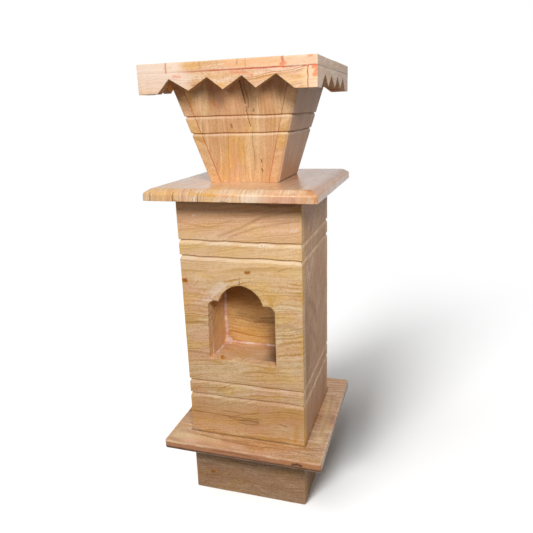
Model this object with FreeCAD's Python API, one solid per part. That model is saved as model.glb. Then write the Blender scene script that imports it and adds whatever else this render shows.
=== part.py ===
# Free-standing tulsi vrindavan planter, built from sawn stone slabs.
# A hollow plinth carries a base plate and a square column with a lamp niche.
# A cap plate on the column is the floor of a flared pot, and a canopy frame with
# a zigzag fascia goes round the pot's mouth.
# Millimetres, +Z up, front towards -Y, origin at the middle of the plinth's underside.

import FreeCAD, Part
import math
import os

os.makedirs("parts", exist_ok=True)

Vec = FreeCAD.Vector

# Stone stock
slab_thickness = 20.0
thin_slab_thickness = 16.0

# Plinth: a box of four slabs, in line with the column's faces
plinth_height = 127.0

# Base plate on the plinth, and how far it stands out from the column
base_plate_side_overhang = 45.0
base_plate_front_overhang = 52.0
base_plate_thickness = 20.0
base_plate_corner_radius = 7.0
base_plate_edge_chamfer = 3.0

# Column: four slabs with V grooves that run right round
column_width = 250.0
column_depth = 250.0
column_height = 514.0
column_lower_groove_height = 91.0
column_upper_groove_drop = 86.0
column_groove_pair_pitch = 32.5
groove_width = 6.0
groove_depth = 3.5

# Niche: the opening in the front slab and the box behind it
niche_sill_height = 172.5
niche_opening_width = 144.0
niche_opening_height = 166.0
niche_depth = 98.0
niche_side_reveal = 1.5
niche_ceiling_rise = 8.0
niche_corner_filler_leg = 9.0
niche_floor_filler_leg = 6.0

# Points of the opening's outline, as shares of its half width and its height
jamb_top_height_share = 0.70
lobe_shares = (0.875, 0.765)
cusp_shares = (0.674, 0.757)
main_arc_shares = (0.458, 0.906)

# Cap plate on the column, and how far it stands out from it
cap_plate_side_overhang = 41.0
cap_plate_front_overhang = 53.0
cap_plate_thickness = 22.0
cap_chamfer_width = 12.0
cap_chamfer_height = 8.0
cap_corner_radius = 4.0
cap_top_corner_radius = 1.5

# Pot: four leaning slabs, wider at the mouth
pot_bottom_width = 140.0
pot_bottom_depth = 144.0
pot_top_width = 254.0
pot_top_depth = 233.0
pot_height = 201.0
pot_upper_groove_drop = 77.0
pot_groove_pair_pitch = 31.0
weep_hole_diameter = 12.0
weep_hole_height = 14.0

# Canopy: a flat rim of four strips with a zigzag fascia under its edge
canopy_side_overhang = 36.0
canopy_front_overhang = 43.5
rim_thickness = 16.0
fascia_height = 35.0
fascia_end_block = 34.0
fascia_notch_height = 24.0
fascia_tooth_lift = 3.0
fascia_notch_count = 4

# How far a cutting tool runs past the stone
tool_overrun = 5.0

# A quarter of a full turn
quarter_turn = math.pi / 2

# Plans of the pieces that stand out from the column and from the pot's mouth
base_plate_width = column_width + 2 * base_plate_side_overhang
base_plate_depth = column_depth + 2 * base_plate_front_overhang
cap_plate_width = column_width + 2 * cap_plate_side_overhang
cap_plate_depth = column_depth + 2 * cap_plate_front_overhang
canopy_width = pot_top_width + 2 * canopy_side_overhang
canopy_depth = pot_top_depth + 2 * canopy_front_overhang

# Levels, from the ground up
base_plate_bottom = plinth_height
column_bottom = base_plate_bottom + base_plate_thickness
cap_plate_bottom = column_bottom + column_height
pot_bottom = cap_plate_bottom + cap_plate_thickness
rim_bottom = pot_bottom + pot_height
rim_top = rim_bottom + rim_thickness
sill_level = column_bottom + niche_sill_height
niche_ceiling_bottom = sill_level + niche_opening_height + niche_ceiling_rise


def box_between(low, high):
    """Box from its lowest corner to its highest."""
    size = high.sub(low)
    return Part.makeBox(size.x, size.y, size.z, low)


def rectangle(width, depth, level):
    """Closed rectangle round the vertical axis."""
    x = width / 2
    y = depth / 2
    corners = [Vec(-x, -y, level), Vec(x, -y, level), Vec(x, y, level), Vec(-x, y, level)]
    return Part.makePolygon(corners + corners[:1])


def rounded_rectangle(width, depth, radius, level):
    """Closed rectangle round the vertical axis, with round corners."""
    x = width / 2 - radius
    y = depth / 2 - radius
    centres = [Vec(x, y, level), Vec(-x, y, level), Vec(-x, -y, level), Vec(x, -y, level)]

    def on_corner(number, turns):
        angle = (number + turns) * quarter_turn
        return centres[number] + Vec(radius * math.cos(angle), radius * math.sin(angle), 0)

    edges = []
    for number in range(4):
        start, middle, end = [on_corner(number, turns) for turns in (0, 1 / 2, 1)]
        edges.append(Part.Arc(start, middle, end).toShape())
        next_start = on_corner((number + 1) % 4, 0)
        edges.append(Part.LineSegment(end, next_start).toShape())
    return Part.Wire(edges)


def stacked_solid(wires):
    """Solid with straight sides through closed wires from low to high."""
    return Part.makeLoft(wires, True, True)


def grooved_block(bottom, top, size_at, groove_levels):
    """Upright block whose plan size is size_at(level), with V grooves round it."""
    wires = [rectangle(*size_at(bottom), bottom)]
    for level in groove_levels:
        for offset, inset in ((-groove_width / 2, 0), (0, groove_depth), (groove_width / 2, 0)):
            width, depth = size_at(level + offset)
            wires.append(rectangle(width - 2 * inset, depth - 2 * inset, level + offset))
    wires.append(rectangle(*size_at(top), top))
    return stacked_solid(wires)


def frame_of_four(width, depth, bottom, top, thickness, sides_run_through):
    """Four upright slabs round a hollow, as boxes named by the side they are on."""
    x = width / 2
    y = depth / 2
    side_y = y if sides_run_through else y - thickness
    front_x = x - thickness if sides_run_through else x
    return {
        "front": box_between(Vec(-front_x, -y, bottom), Vec(front_x, -y + thickness, top)),
        "back": box_between(Vec(-front_x, y - thickness, bottom), Vec(front_x, y, top)),
        "left": box_between(Vec(-x, -side_y, bottom), Vec(-x + thickness, side_y, top)),
        "right": box_between(Vec(x - thickness, -side_y, bottom), Vec(x, side_y, top)),
    }


def make_plinth():
    """Four slabs, the front and back over the ends of the sides."""
    slabs = frame_of_four(column_width, column_depth, 0, plinth_height, slab_thickness, False)
    return {"plinth_" + side: slab for side, slab in slabs.items()}


def make_base_plate():
    """Plate with round corners and an eased top edge."""
    edge = base_plate_edge_chamfer
    radius = base_plate_corner_radius
    top = base_plate_bottom + base_plate_thickness
    wires = [
        rounded_rectangle(base_plate_width, base_plate_depth, radius, base_plate_bottom),
        rounded_rectangle(base_plate_width, base_plate_depth, radius, top - edge),
        rounded_rectangle(base_plate_width - 2 * edge, base_plate_depth - 2 * edge, radius - edge, top),
    ]
    return {"base_plate": stacked_solid(wires)}


def niche_outline(y):
    """Cusped opening: jambs, a small lobe each side and a pointed arch of two arcs."""
    half = niche_opening_width / 2
    height = niche_opening_height

    def place(across_share, up_share):
        return Vec(half * across_share, y, sill_level + height * up_share)

    def place_pair(shares):
        return place(shares[0], shares[1]), place(-shares[0], shares[1])

    jamb_right, jamb_left = place_pair((1, jamb_top_height_share))
    lobe_right, lobe_left = place_pair(lobe_shares)
    cusp_right, cusp_left = place_pair(cusp_shares)
    arc_right, arc_left = place_pair(main_arc_shares)
    sill_right, sill_left = place_pair((1, 0))
    apex = place(0, 1)
    curves = [
        Part.LineSegment(sill_left, sill_right),
        Part.LineSegment(sill_right, jamb_right),
        Part.Arc(jamb_right, lobe_right, cusp_right),
        Part.Arc(cusp_right, arc_right, apex),
        Part.Arc(apex, arc_left, cusp_left),
        Part.Arc(cusp_left, lobe_left, jamb_left),
        Part.LineSegment(jamb_left, sill_left),
    ]
    return Part.Wire([curve.toShape() for curve in curves])


def make_column():
    """Four grooved slabs, the front and back over the ends of the sides."""
    top = cap_plate_bottom
    low = column_bottom + column_lower_groove_height
    high = top - column_upper_groove_drop
    levels = [low, low + column_groove_pair_pitch, high - column_groove_pair_pitch, high]
    block = grooved_block(column_bottom, top, lambda level: (column_width, column_depth), levels)
    slabs = frame_of_four(column_width, column_depth, column_bottom, top, slab_thickness, False)
    nodes = {"column_" + side: slab.common(block) for side, slab in slabs.items()}
    opening_start = -column_depth / 2 - tool_overrun
    opening_length = slab_thickness + 2 * tool_overrun
    opening = Part.Face(niche_outline(opening_start)).extrude(Vec(0, opening_length, 0))
    nodes["column_front"] = nodes["column_front"].cut(opening)
    return nodes


def make_niche():
    """Box behind the opening: floor, two sides, back and ceiling between the column's sides."""
    thin = thin_slab_thickness
    span = column_width / 2 - slab_thickness
    inner = niche_opening_width / 2 + niche_side_reveal
    front = -column_depth / 2 + slab_thickness
    back = -column_depth / 2 + niche_depth
    rear = back + thin
    roof = niche_ceiling_bottom
    return {
        "niche_floor": box_between(Vec(-span, front, sill_level - thin), Vec(span, rear, sill_level)),
        "niche_left": box_between(Vec(-inner - thin, front, sill_level), Vec(-inner, back, roof)),
        "niche_right": box_between(Vec(inner, front, sill_level), Vec(inner + thin, back, roof)),
        "niche_back": box_between(Vec(-span, back, sill_level), Vec(span, rear, roof)),
        "niche_ceiling": box_between(Vec(-span, front, roof), Vec(span, rear, roof + thin)),
    }


def triangular_bead(start, leg_one, leg_two, run):
    """Three-sided bead of filler in a corner, from start along run."""
    corner = Part.makePolygon([start, start + leg_one, start + leg_two, start])
    return Part.Face(corner).extrude(run)


def make_niche_filler():
    """Cement beads in the niche's two back corners and round the edge of its floor."""
    leg = niche_floor_filler_leg
    corner_leg = niche_corner_filler_leg
    inner = niche_opening_width / 2 + niche_side_reveal
    front = -column_depth / 2 + slab_thickness
    back = -column_depth / 2 + niche_depth
    height = niche_ceiling_bottom - sill_level
    up = Vec(0, 0, leg)
    along_back = Vec(2 * inner, 0, 0)
    beads = [triangular_bead(Vec(-inner, back, sill_level), up, Vec(0, -leg, 0), along_back)]
    for side in (-1, 1):
        corner = Vec(side * inner, back, sill_level)
        corner_legs = (Vec(-side * corner_leg, 0, 0), Vec(0, -corner_leg, 0))
        beads.append(triangular_bead(corner, *corner_legs, Vec(0, 0, height)))
        beads.append(triangular_bead(corner, Vec(-side * leg, 0, 0), up, Vec(0, front - back, 0)))
    return {"niche_joint_filler": beads[0].multiFuse(beads[1:]).removeSplitter()}


def make_cap_plate():
    """Plate with a wide chamfer along its top edges."""
    top = cap_plate_bottom + cap_plate_thickness
    inset = 2 * cap_chamfer_width
    wires = [
        rounded_rectangle(cap_plate_width, cap_plate_depth, cap_corner_radius, cap_plate_bottom),
        rounded_rectangle(cap_plate_width, cap_plate_depth, cap_corner_radius, top - cap_chamfer_height),
        rounded_rectangle(cap_plate_width - inset, cap_plate_depth - inset, cap_top_corner_radius, top),
    ]
    return {"cap_plate": stacked_solid(wires)}


def pot_size_at(level):
    """Outer width and depth of the pot at a level."""
    share = (level - pot_bottom) / pot_height
    width = pot_bottom_width + (pot_top_width - pot_bottom_width) * share
    depth = pot_bottom_depth + (pot_top_depth - pot_bottom_depth) * share
    return width, depth


def level_wall(bottom_size, top_size):
    """Thickness of a leaning slab, measured level."""
    lean = math.atan2((top_size - bottom_size) / 2, pot_height)
    return slab_thickness / math.cos(lean)


def pot_side_wall():
    """Level thickness of the pot's left and right slabs."""
    return level_wall(pot_bottom_width, pot_top_width)


def pot_end_wall():
    """Level thickness of the pot's front and back slabs."""
    return level_wall(pot_bottom_depth, pot_top_depth)


def make_pot():
    """Four leaning slabs: the sides run through, the front and back stand between them."""
    upper = rim_bottom - pot_upper_groove_drop
    levels = [upper - pot_groove_pair_pitch, upper]
    block = grooved_block(pot_bottom, rim_bottom, pot_size_at, levels)
    widest = max(pot_top_depth, pot_top_width, pot_bottom_depth, pot_bottom_width)
    reach = widest + 2 * tool_overrun
    across = 2 * pot_side_wall()
    along = 2 * pot_end_wall()
    between_sides = stacked_solid([
        rectangle(pot_bottom_width - across, reach, pot_bottom),
        rectangle(pot_top_width - across, reach, rim_bottom),
    ])
    between_ends = stacked_solid([
        rectangle(reach, pot_bottom_depth - along, pot_bottom),
        rectangle(reach, pot_top_depth - along, rim_bottom),
    ])
    sides = block.cut(between_sides).Solids
    ends = block.common(between_sides).cut(between_ends).Solids
    left, right = sorted(sides, key=lambda slab: slab.CenterOfMass.x)
    front, back = sorted(ends, key=lambda slab: slab.CenterOfMass.y)
    hole_start = Vec(0, 0, pot_bottom + weep_hole_height)
    weep_hole = Part.makeCylinder(weep_hole_diameter / 2, reach, hole_start, Vec(0, 1, 0))
    return {
        "pot_left": left,
        "pot_right": right,
        "pot_front": front,
        "pot_back": back.cut(weep_hole),
    }


def make_rim():
    """Flat frame on the pot's walls: its opening is the pot's mouth."""
    top = rim_top
    x = canopy_width / 2
    y = canopy_depth / 2
    mouth_x = pot_top_width / 2 - pot_side_wall()
    mouth_y = pot_top_depth / 2 - pot_end_wall()
    return {
        "rim_left": box_between(Vec(-x, -y, rim_bottom), Vec(-mouth_x, y, top)),
        "rim_right": box_between(Vec(mouth_x, -y, rim_bottom), Vec(x, y, top)),
        "rim_front": box_between(Vec(-mouth_x, -y, rim_bottom), Vec(mouth_x, -mouth_y, top)),
        "rim_back": box_between(Vec(-mouth_x, mouth_y, rim_bottom), Vec(mouth_x, y, top)),
    }


def zigzag_tool(length, bottom):
    """Tool that leaves the teeth of a fascia along X, through the whole depth.

    The teeth end a little above the plain blocks at the board's ends.
    """
    pitch = (length - 2 * fascia_end_block) / fascia_notch_count
    reach = canopy_width + canopy_depth
    start = -length / 2 + fascia_end_block
    tool_bottom = bottom - tool_overrun

    def point(across, level):
        return Vec(across, -reach / 2, level)

    outline = [point(start, tool_bottom), point(start, bottom)]
    for number in range(fascia_notch_count):
        notch_start = start + number * pitch
        outline.append(point(notch_start + pitch / 2, bottom + fascia_notch_height))
        outline.append(point(notch_start + pitch, bottom + fascia_tooth_lift))
    outline[-1] = point(-start, bottom)
    outline.append(point(-start, tool_bottom))
    return Part.Face(Part.makePolygon(outline + outline[:1])).extrude(Vec(0, reach, 0))


def make_fascia():
    """Zigzag boards under the rim's outer edge: the sides run through."""
    bottom = rim_bottom - fascia_height
    boards = frame_of_four(canopy_width, canopy_depth, bottom, rim_bottom, thin_slab_thickness, True)
    front_tool = zigzag_tool(canopy_width, bottom)
    side_tool = zigzag_tool(canopy_depth, bottom)
    side_tool.rotate(Vec(0, 0, 0), Vec(0, 0, 1), math.degrees(quarter_turn))
    nodes = {}
    for side, board in boards.items():
        tool = front_tool if side in ("front", "back") else side_tool
        nodes["fascia_" + side] = board.cut(tool)
    return nodes


def single_solid(shape):
    """The one solid that a cut or a common leaves."""
    return shape.Solids[0] if len(shape.Solids) == 1 else shape


def main():
    nodes = {}
    makers = [
        make_plinth,
        make_base_plate,
        make_column,
        make_niche,
        make_niche_filler,
        make_cap_plate,
        make_pot,
        make_rim,
        make_fascia,
    ]
    for maker in makers:
        nodes.update(maker())
    for name, shape in nodes.items():
        solid = single_solid(shape)
        solid.exportStep("parts/" + name + ".step")
        print(name, "valid:", solid.isValid(), "solids:", len(solid.Solids), "mm3:", round(solid.Volume))
    print(len(nodes), "pieces")


main()
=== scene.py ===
# %% [markdown]
# # A tulsi planter in sawn sandstone
# The planter is put together from sawn slabs of a golden sandstone whose figure looks like wood.
# From the ground up it has a hollow plinth, a base plate, a square column with a lamp niche,
# a cap plate, a flared pot, and a canopy of a flat rim with a zigzag fascia under it.
# The stages below build each slab at the place that the frame gives it, then its finish.

# %% The fixed frame
import math

import bpy
from mathutils import Matrix, Vector


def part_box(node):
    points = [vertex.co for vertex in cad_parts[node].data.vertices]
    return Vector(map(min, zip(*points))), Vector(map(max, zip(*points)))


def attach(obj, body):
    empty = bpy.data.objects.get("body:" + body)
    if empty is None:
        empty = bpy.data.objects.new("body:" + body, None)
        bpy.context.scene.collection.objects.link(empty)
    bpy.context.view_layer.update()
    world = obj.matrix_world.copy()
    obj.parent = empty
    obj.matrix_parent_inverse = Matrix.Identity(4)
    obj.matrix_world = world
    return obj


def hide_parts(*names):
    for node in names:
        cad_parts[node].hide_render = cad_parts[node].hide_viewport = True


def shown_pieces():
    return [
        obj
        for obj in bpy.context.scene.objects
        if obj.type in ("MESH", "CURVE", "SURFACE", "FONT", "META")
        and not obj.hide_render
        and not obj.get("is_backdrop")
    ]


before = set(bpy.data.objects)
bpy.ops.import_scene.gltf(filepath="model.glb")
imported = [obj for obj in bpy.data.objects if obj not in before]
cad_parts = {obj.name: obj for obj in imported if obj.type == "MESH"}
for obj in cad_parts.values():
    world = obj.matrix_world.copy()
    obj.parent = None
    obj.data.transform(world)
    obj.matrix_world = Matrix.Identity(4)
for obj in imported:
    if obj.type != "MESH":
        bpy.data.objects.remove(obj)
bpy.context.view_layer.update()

# %% [markdown]
# ## The camera
# The photograph was taken with the camera a little over a metre away, to the right of the front
# and just under the rim, looking down a few degrees. The place and turn were worked out from where the
# object's corners lie in the picture. A camera is turned by its own three axes, so the matrix
# is built from the way it looks, instead of by trying angles.

# %% Camera
MM = 0.001
IMAGE_SIDE = 533
SENSOR_WIDTH = 36.0

camera_place = Vector((347.9, -1056.8, 817.9)) * MM
camera_turn = 0.3042
camera_tilt = -0.2862
camera_roll = 0.0327
camera_focal_pixels = 534.8

looking = Vector((
    -math.sin(camera_turn) * math.cos(camera_tilt),
    math.cos(camera_turn) * math.cos(camera_tilt),
    math.sin(camera_tilt),
))
level_right = Vector((math.cos(camera_turn), math.sin(camera_turn), 0))
level_up = level_right.cross(looking)
camera_right = level_right * math.cos(camera_roll) - level_up * math.sin(camera_roll)
camera_up = level_up * math.cos(camera_roll) + level_right * math.sin(camera_roll)

camera_data = bpy.data.cameras.new("photo_camera")
camera_data.sensor_width = SENSOR_WIDTH
camera_data.lens = camera_focal_pixels / IMAGE_SIDE * SENSOR_WIDTH
camera_data.clip_start = 50 * MM
camera = bpy.data.objects.new("photo_camera", camera_data)
axes = Matrix((camera_right, camera_up, -looking)).transposed().to_4x4()
camera.matrix_world = Matrix.Translation(camera_place) @ axes
bpy.context.scene.collection.objects.link(camera)
bpy.context.scene.camera = camera
bpy.context.scene.view_settings.view_transform = "Standard"
print("lens", round(camera_data.lens, 2), "mm")

# %% [markdown]
# ## Small tools for sawing and pushing
# Every slab starts as a block at its real size and place. Blender's operators act on all that is
# selected, so one tool first makes a piece the only selected one. Sawing is a bisect that keeps
# both sides, so it leaves a loop of edges that can be pushed in or out.

# %% Tools for the blocks
HAIR = 1e-5
X, Y, Z = 0, 1, 2


def only(piece):
    """Makes one piece the only selected and active object."""
    bpy.ops.object.select_all(action="DESELECT")
    piece.select_set(True)
    bpy.context.view_layer.objects.active = piece
    return piece


def along(axis, length=1.0):
    """A vector of a length along one axis."""
    return Vector([length if number == axis else 0.0 for number in range(3)])


def piece_box(piece):
    """Lowest and highest corner of the box round a piece's vertices."""
    places = [vertex.co for vertex in piece.data.vertices]
    return [Vector([pick_one(place[axis] for place in places) for axis in (X, Y, Z)])
            for pick_one in (min, max)]


def saw_block(name, low, high):
    """Sawn block between two corners. Its place is in its mesh."""
    bpy.ops.object.select_all(action="DESELECT")
    low, high = Vector(low), Vector(high)
    bpy.ops.mesh.primitive_cube_add(size=1, location=(low + high) / 2, scale=high - low)
    block = bpy.context.object
    block.name = name
    block.data.name = name
    bpy.ops.object.transform_apply(location=True, rotation=True, scale=True)
    return block


def node_block(name):
    """Sawn block that fills the box of the frame's node of that name."""
    return saw_block(name + "_stone", *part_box(name))


def saw_through(piece, axis, levels):
    """Saws loops of edges round a piece at levels along an axis, and keeps both sides."""
    only(piece)
    bpy.ops.object.mode_set(mode="EDIT")
    for level in levels:
        bpy.ops.mesh.select_all(action="SELECT")
        bpy.ops.mesh.bisect(plane_co=along(axis, level), plane_no=along(axis))
    bpy.ops.object.mode_set(mode="OBJECT")


def deselect_mesh(piece, select_mode):
    """Makes a piece the only active one, with nothing in its mesh selected."""
    only(piece)
    bpy.context.tool_settings.mesh_select_mode = select_mode
    bpy.ops.object.mode_set(mode="EDIT")
    bpy.ops.mesh.select_all(action="DESELECT")
    bpy.ops.object.mode_set(mode="OBJECT")


def pick(piece, chosen):
    """Selects the vertices whose place chosen() accepts, and leaves the piece in edit mode."""
    deselect_mesh(piece, (True, False, False))
    count = 0
    for vertex in piece.data.vertices:
        vertex.select = bool(chosen(vertex.co))
        count += vertex.select
    bpy.ops.object.mode_set(mode="EDIT")
    return count


def pick_edges(piece, chosen):
    """Selects the edges whose two ends chosen() accepts, and leaves the piece in edit mode."""
    deselect_mesh(piece, (False, True, False))
    places = piece.data.vertices
    for edge in piece.data.edges:
        start, end = [places[number].co for number in edge.vertices]
        edge.select = bool(chosen(start, end))
    bpy.ops.object.mode_set(mode="EDIT")


def push(piece, chosen, by):
    """Pushes the chosen vertices by a vector."""
    if pick(piece, chosen):
        bpy.ops.transform.translate(value=by)
    bpy.ops.object.mode_set(mode="OBJECT")


def pull_in(piece, chosen, factors, centre):
    """Scales the chosen vertices towards a centre."""
    if pick(piece, chosen):
        bpy.ops.transform.resize(value=factors, center_override=centre)
    bpy.ops.object.mode_set(mode="OBJECT")


def apply_modifier(piece, kind, **settings):
    """Adds a modifier with its settings and applies it."""
    only(piece)
    modifier = piece.modifiers.new(kind.lower(), kind)
    for name, value in settings.items():
        setattr(modifier, name, value)
    bpy.ops.object.modifier_apply(modifier=modifier.name)


# %% [markdown]
# ## Eased edges and a hand-dressed skin
# A mason rubs every open edge down with a stone, so no edge is a knife line, and rubs the faces
# flat by eye, so none is quite true. Where two slabs meet, the edge stays nearly sharp, and the joint
# is flush. So the bevel reads a weight from each edge: full in the open, a small share at a joint.
# For the faces, each slab is cut into small cells, and displaced by three soft noise fields that all
# slabs share, one for each axis. Because neighbours move together, their joints stay shut.
# An attribute named arris remembers the rubbed edges, so that the finish can tint them, partly as wear and
# partly as a painted highlight.

# %% Easing
ARRIS = "arris"
BEVEL_WEIGHT = "bevel_weight_edge"
joint_share = 0.22
# Edge tints stand partly for wear and partly for a painted highlight.
wear_and_sheen_margin = 3 * MM
inner_wear_and_sheen = 0.3
ruled_wear_and_sheen = 0.8
box_edge_reach = 1.2
node_boxes = {name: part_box(name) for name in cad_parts}


def mark(piece, attribute, chosen, value=1.0):
    """Writes a value into an attribute of the chosen vertices."""
    mesh = piece.data
    marks = mesh.attributes.get(attribute) or mesh.attributes.new(attribute, "FLOAT", "POINT")
    for number, vertex in enumerate(mesh.vertices):
        if chosen(vertex):
            marks.data[number].value = value


def meets_another(name):
    """Gives a test of whether a place touches another piece of the frame than the named one."""
    others = [box for other, box in node_boxes.items() if other != name]

    def test(place):
        return any(all(low[axis] - HAIR <= place[axis] <= high[axis] + HAIR for axis in (X, Y, Z))
                   for low, high in others)
    return test


def rule_margins(piece, margin):
    """Saws loops a margin inside every side of a block, so that the edge tint of wear and painted highlight
    stays narrow.
    """
    low, high = piece_box(piece)
    for axis in (X, Y, Z):
        saw_through(piece, axis, [low[axis] + margin, high[axis] - margin])


def weigh_edges(piece, steepest, at_joint):
    """Gives each sharp edge its weight for the bevel."""
    deselect_mesh(piece, (False, True, False))
    bpy.ops.object.mode_set(mode="EDIT")
    bpy.ops.mesh.edges_select_sharp(sharpness=math.radians(steepest))
    bpy.ops.object.mode_set(mode="OBJECT")
    mesh = piece.data
    sharp = [edge.index for edge in mesh.edges if edge.select]
    middles = [(mesh.vertices[a].co + mesh.vertices[b].co) / 2
               for a, b in (mesh.edges[index].vertices for index in sharp)]
    weights = mesh.attributes.new(BEVEL_WEIGHT, "FLOAT", "EDGE")
    for index, middle in zip(sharp, middles):
        weights.data[index].value = joint_share if at_joint(middle) else 1.0


def bevel_and_sort(piece, width, segments):
    """Bevels by the weights. Gives the vertices inside the bevel, and those on its border."""
    while len(piece.data.materials) < 2:
        piece.data.materials.append(None)
    apply_modifier(piece, "BEVEL", width=width, segments=segments, limit_method="WEIGHT",
                   material=1, miter_outer="MITER_ARC")
    on_strip = set()
    on_face = set()
    for face in piece.data.polygons:
        (on_strip if face.material_index == 1 else on_face).update(face.vertices)
        face.material_index = 0
    piece.data.materials.clear()
    return on_strip - on_face, on_strip & on_face


def ease_edges(piece, width, at_joint, segments=4, steepest=30.0, ruled=False):
    """Bevels all sharp edges, narrowly at joints, and marks the open ones in the arris attribute.

    A ruled block gets loops inside its sides first, so the edge tint of wear and painted highlight can
    reach past the bevel and stop there.
    """
    if ruled:
        rule_margins(piece, width + wear_and_sheen_margin)
    low, high = piece_box(piece)
    weigh_edges(piece, steepest, at_joint)
    inside, border = bevel_and_sort(piece, width, segments)

    def beside_box_edge(place):
        gaps = [min(place[axis] - low[axis], high[axis] - place[axis]) for axis in (X, Y, Z)]
        return sum(gap < width * box_edge_reach for gap in gaps) > 1

    open_inside = {vertex.index for vertex in piece.data.vertices
                   if vertex.index in inside and not at_joint(vertex.co)}
    mark(piece, ARRIS, lambda vertex: vertex.index in open_inside, inner_wear_and_sheen)
    mark(piece, ARRIS, lambda vertex: vertex.index in open_inside and beside_box_edge(vertex.co))
    if ruled:
        mark(piece, ARRIS, lambda vertex: vertex.index in border and beside_box_edge(vertex.co)
             and not at_joint(vertex.co), ruled_wear_and_sheen)
    piece.data.attributes.remove(piece.data.attributes[BEVEL_WEIGHT])


# %% Dressing
dress_amount = 1.1 * MM
dress_grain = 90 * MM
cell_size = 8 * MM
stones = {}


def soft_noise(name, size):
    """Cloud texture for displacing."""
    texture = bpy.data.textures.new(name, "CLOUDS")
    texture.noise_scale = size
    texture.noise_depth = 1
    return texture


dress_fields = {way: soft_noise("dress_" + way, dress_grain * factor)
                for way, factor in (("X", 1.0), ("Y", 1.13), ("Z", 0.87))}
print("dressing fields", list(dress_fields), "up to", dress_amount, "m")


def even_levels(low, high, spacing):
    """Levels inside a span, about a spacing apart."""
    count = max(1, round((high - low) / spacing))
    return [low + (high - low) * number / count for number in range(1, count)]


def cut_cells(piece, spacing):
    """Cuts a piece into cells of about a spacing, in all three directions."""
    low, high = piece_box(piece)
    for axis in (X, Y, Z):
        saw_through(piece, axis, even_levels(low[axis], high[axis], spacing))


def dress_by_hand(piece, amount, ways="XYZ"):
    """Moves the skin by the shared noise fields."""
    for way in ways:
        apply_modifier(piece, "DISPLACE", texture=dress_fields[way], texture_coords="LOCAL",
                       direction=way, strength=amount, mid_level=0.5)


def smooth_shading(piece, steepest=15.0):
    """Shades the skin smooth and keeps real edges crisp."""
    only(piece)
    bpy.ops.object.shade_smooth_by_angle(angle=math.radians(steepest))


def hand_over(piece, node):
    """Says that a finished piece stands for its node."""
    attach(piece, "root")
    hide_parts(node)
    stones[node] = piece
    print(node, len(piece.data.polygons), "faces")


def finish_slab(piece, node, amount=dress_amount, cell=cell_size, ways="XYZ"):
    """Cells, dressing and shading, then the slab stands for its node."""
    cut_cells(piece, cell)
    dress_by_hand(piece, amount, ways)
    smooth_shading(piece)
    hand_over(piece, node)


# %% [markdown]
# ## The V grooves
# Two pairs of grooves run round the column and one pair round the pot. They were ground by hand with
# the edge of a disc: a steep upper side that stays in shadow, and a wide lower lip that catches the
# light. The root's loop is drawn in towards the axis, and the loop below it less, so that the lip is
# round. Attributes remember the root, which holds dirt, and the lip, which is rubbed pale, and one more
# loop under the lip stops them there.

# %% Grooves
GROOVE = "groove"
LIP = "lip"
groove_above = 2.4 * MM
groove_root = 0.8 * MM
lip_fade = 2.5 * MM
lip_top_share = 0.35
lip_depth_share = 0.5
lip_foot_wear_and_sheen = 0.5
groove_reach = 3 * MM
column_groove_depth = 3.5 * MM


def cut_groove(piece, level, half_width, half_depth, depth, lip_height, lip_wear_and_sheen=1.0):
    """Grinds one groove into the outer faces of a slab that stands in a square of those half sizes."""
    lip_bottom = level - lip_height
    lip_top = level - lip_height * lip_top_share
    saw_through(piece, Z, [lip_bottom - lip_fade, lip_bottom, lip_top])
    saw_through(piece, Z, [level + groove_root, level + groove_above])

    def on_loop(loop_level):
        def test(place):
            outside = (abs(place.x) > half_width - groove_reach
                       or abs(place.y) > half_depth - groove_reach)
            return abs(place.z - loop_level) < HAIR and outside
        return test

    mark(piece, GROOVE, lambda vertex: on_loop(level + groove_root)(vertex.co))
    mark(piece, LIP, lambda vertex: on_loop(lip_top)(vertex.co), lip_wear_and_sheen)
    mark(piece, LIP, lambda vertex: on_loop(lip_bottom)(vertex.co), lip_wear_and_sheen * lip_foot_wear_and_sheen)
    for at, share in ((level + groove_root, 1.0), (lip_top, lip_depth_share)):
        factors = (1 - depth * share / half_width, 1 - depth * share / half_depth, 1)
        pull_in(piece, on_loop(at), factors, Vector((0, 0, at)))


WAVER = "waver"
waver_near = 6 * MM
waver_far = 14 * MM
waver_field = soft_noise("groove_waver", 38 * MM)


def waver_grooves(piece, levels, amount):
    """Lets the grooves wander up and down a little, as a hand-held disc does."""
    group = piece.vertex_groups.new(name=WAVER)
    for vertex in piece.data.vertices:
        gap = min(abs(vertex.co.z - level) for level in levels)
        weight = 1 - min(max((gap - waver_near) / (waver_far - waver_near), 0), 1)
        if weight > 0:
            group.add([vertex.index], weight, "REPLACE")
    apply_modifier(piece, "DISPLACE", texture=waver_field, texture_coords="LOCAL", direction="Z",
                   strength=amount, mid_level=0.5, vertex_group=WAVER)
    piece.vertex_groups.remove(piece.vertex_groups[WAVER])


# %% [markdown]
# ## The plinth
# Four slabs stand on the ground in a hollow box. Their edges are rubbed rounder than those of the column,
# so the bevel is wider. They are dressed to the sides only, never up or down, so they stand flat.

# %% Plinth
plinth_easing = 2.4 * MM
plinth_nodes = ["plinth_front", "plinth_back", "plinth_left", "plinth_right"]
for name in plinth_nodes:
    slab = node_block(name)
    ease_edges(slab, plinth_easing, meets_another(name), ruled=True)
    finish_slab(slab, name, ways="XY")

# %% [markdown]
# ## The base plate
# One thick plate with rounded corners and well rubbed edges. The four upright edges are bevelled
# to a round first, with many segments, and then the rest is eased.

# %% Base plate
base_corner_radius = 7 * MM
base_easing = 3.6 * MM


def is_upright(start, end):
    """Whether an edge stands upright."""
    return abs(start.x - end.x) < HAIR and abs(start.y - end.y) < HAIR


def round_upright_edges(piece, radius, segments=8):
    """Rounds the upright edges of a plate."""
    pick_edges(piece, is_upright)
    bpy.ops.mesh.bevel(offset=radius, segments=segments, affect="EDGES")
    bpy.ops.object.mode_set(mode="OBJECT")


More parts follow.
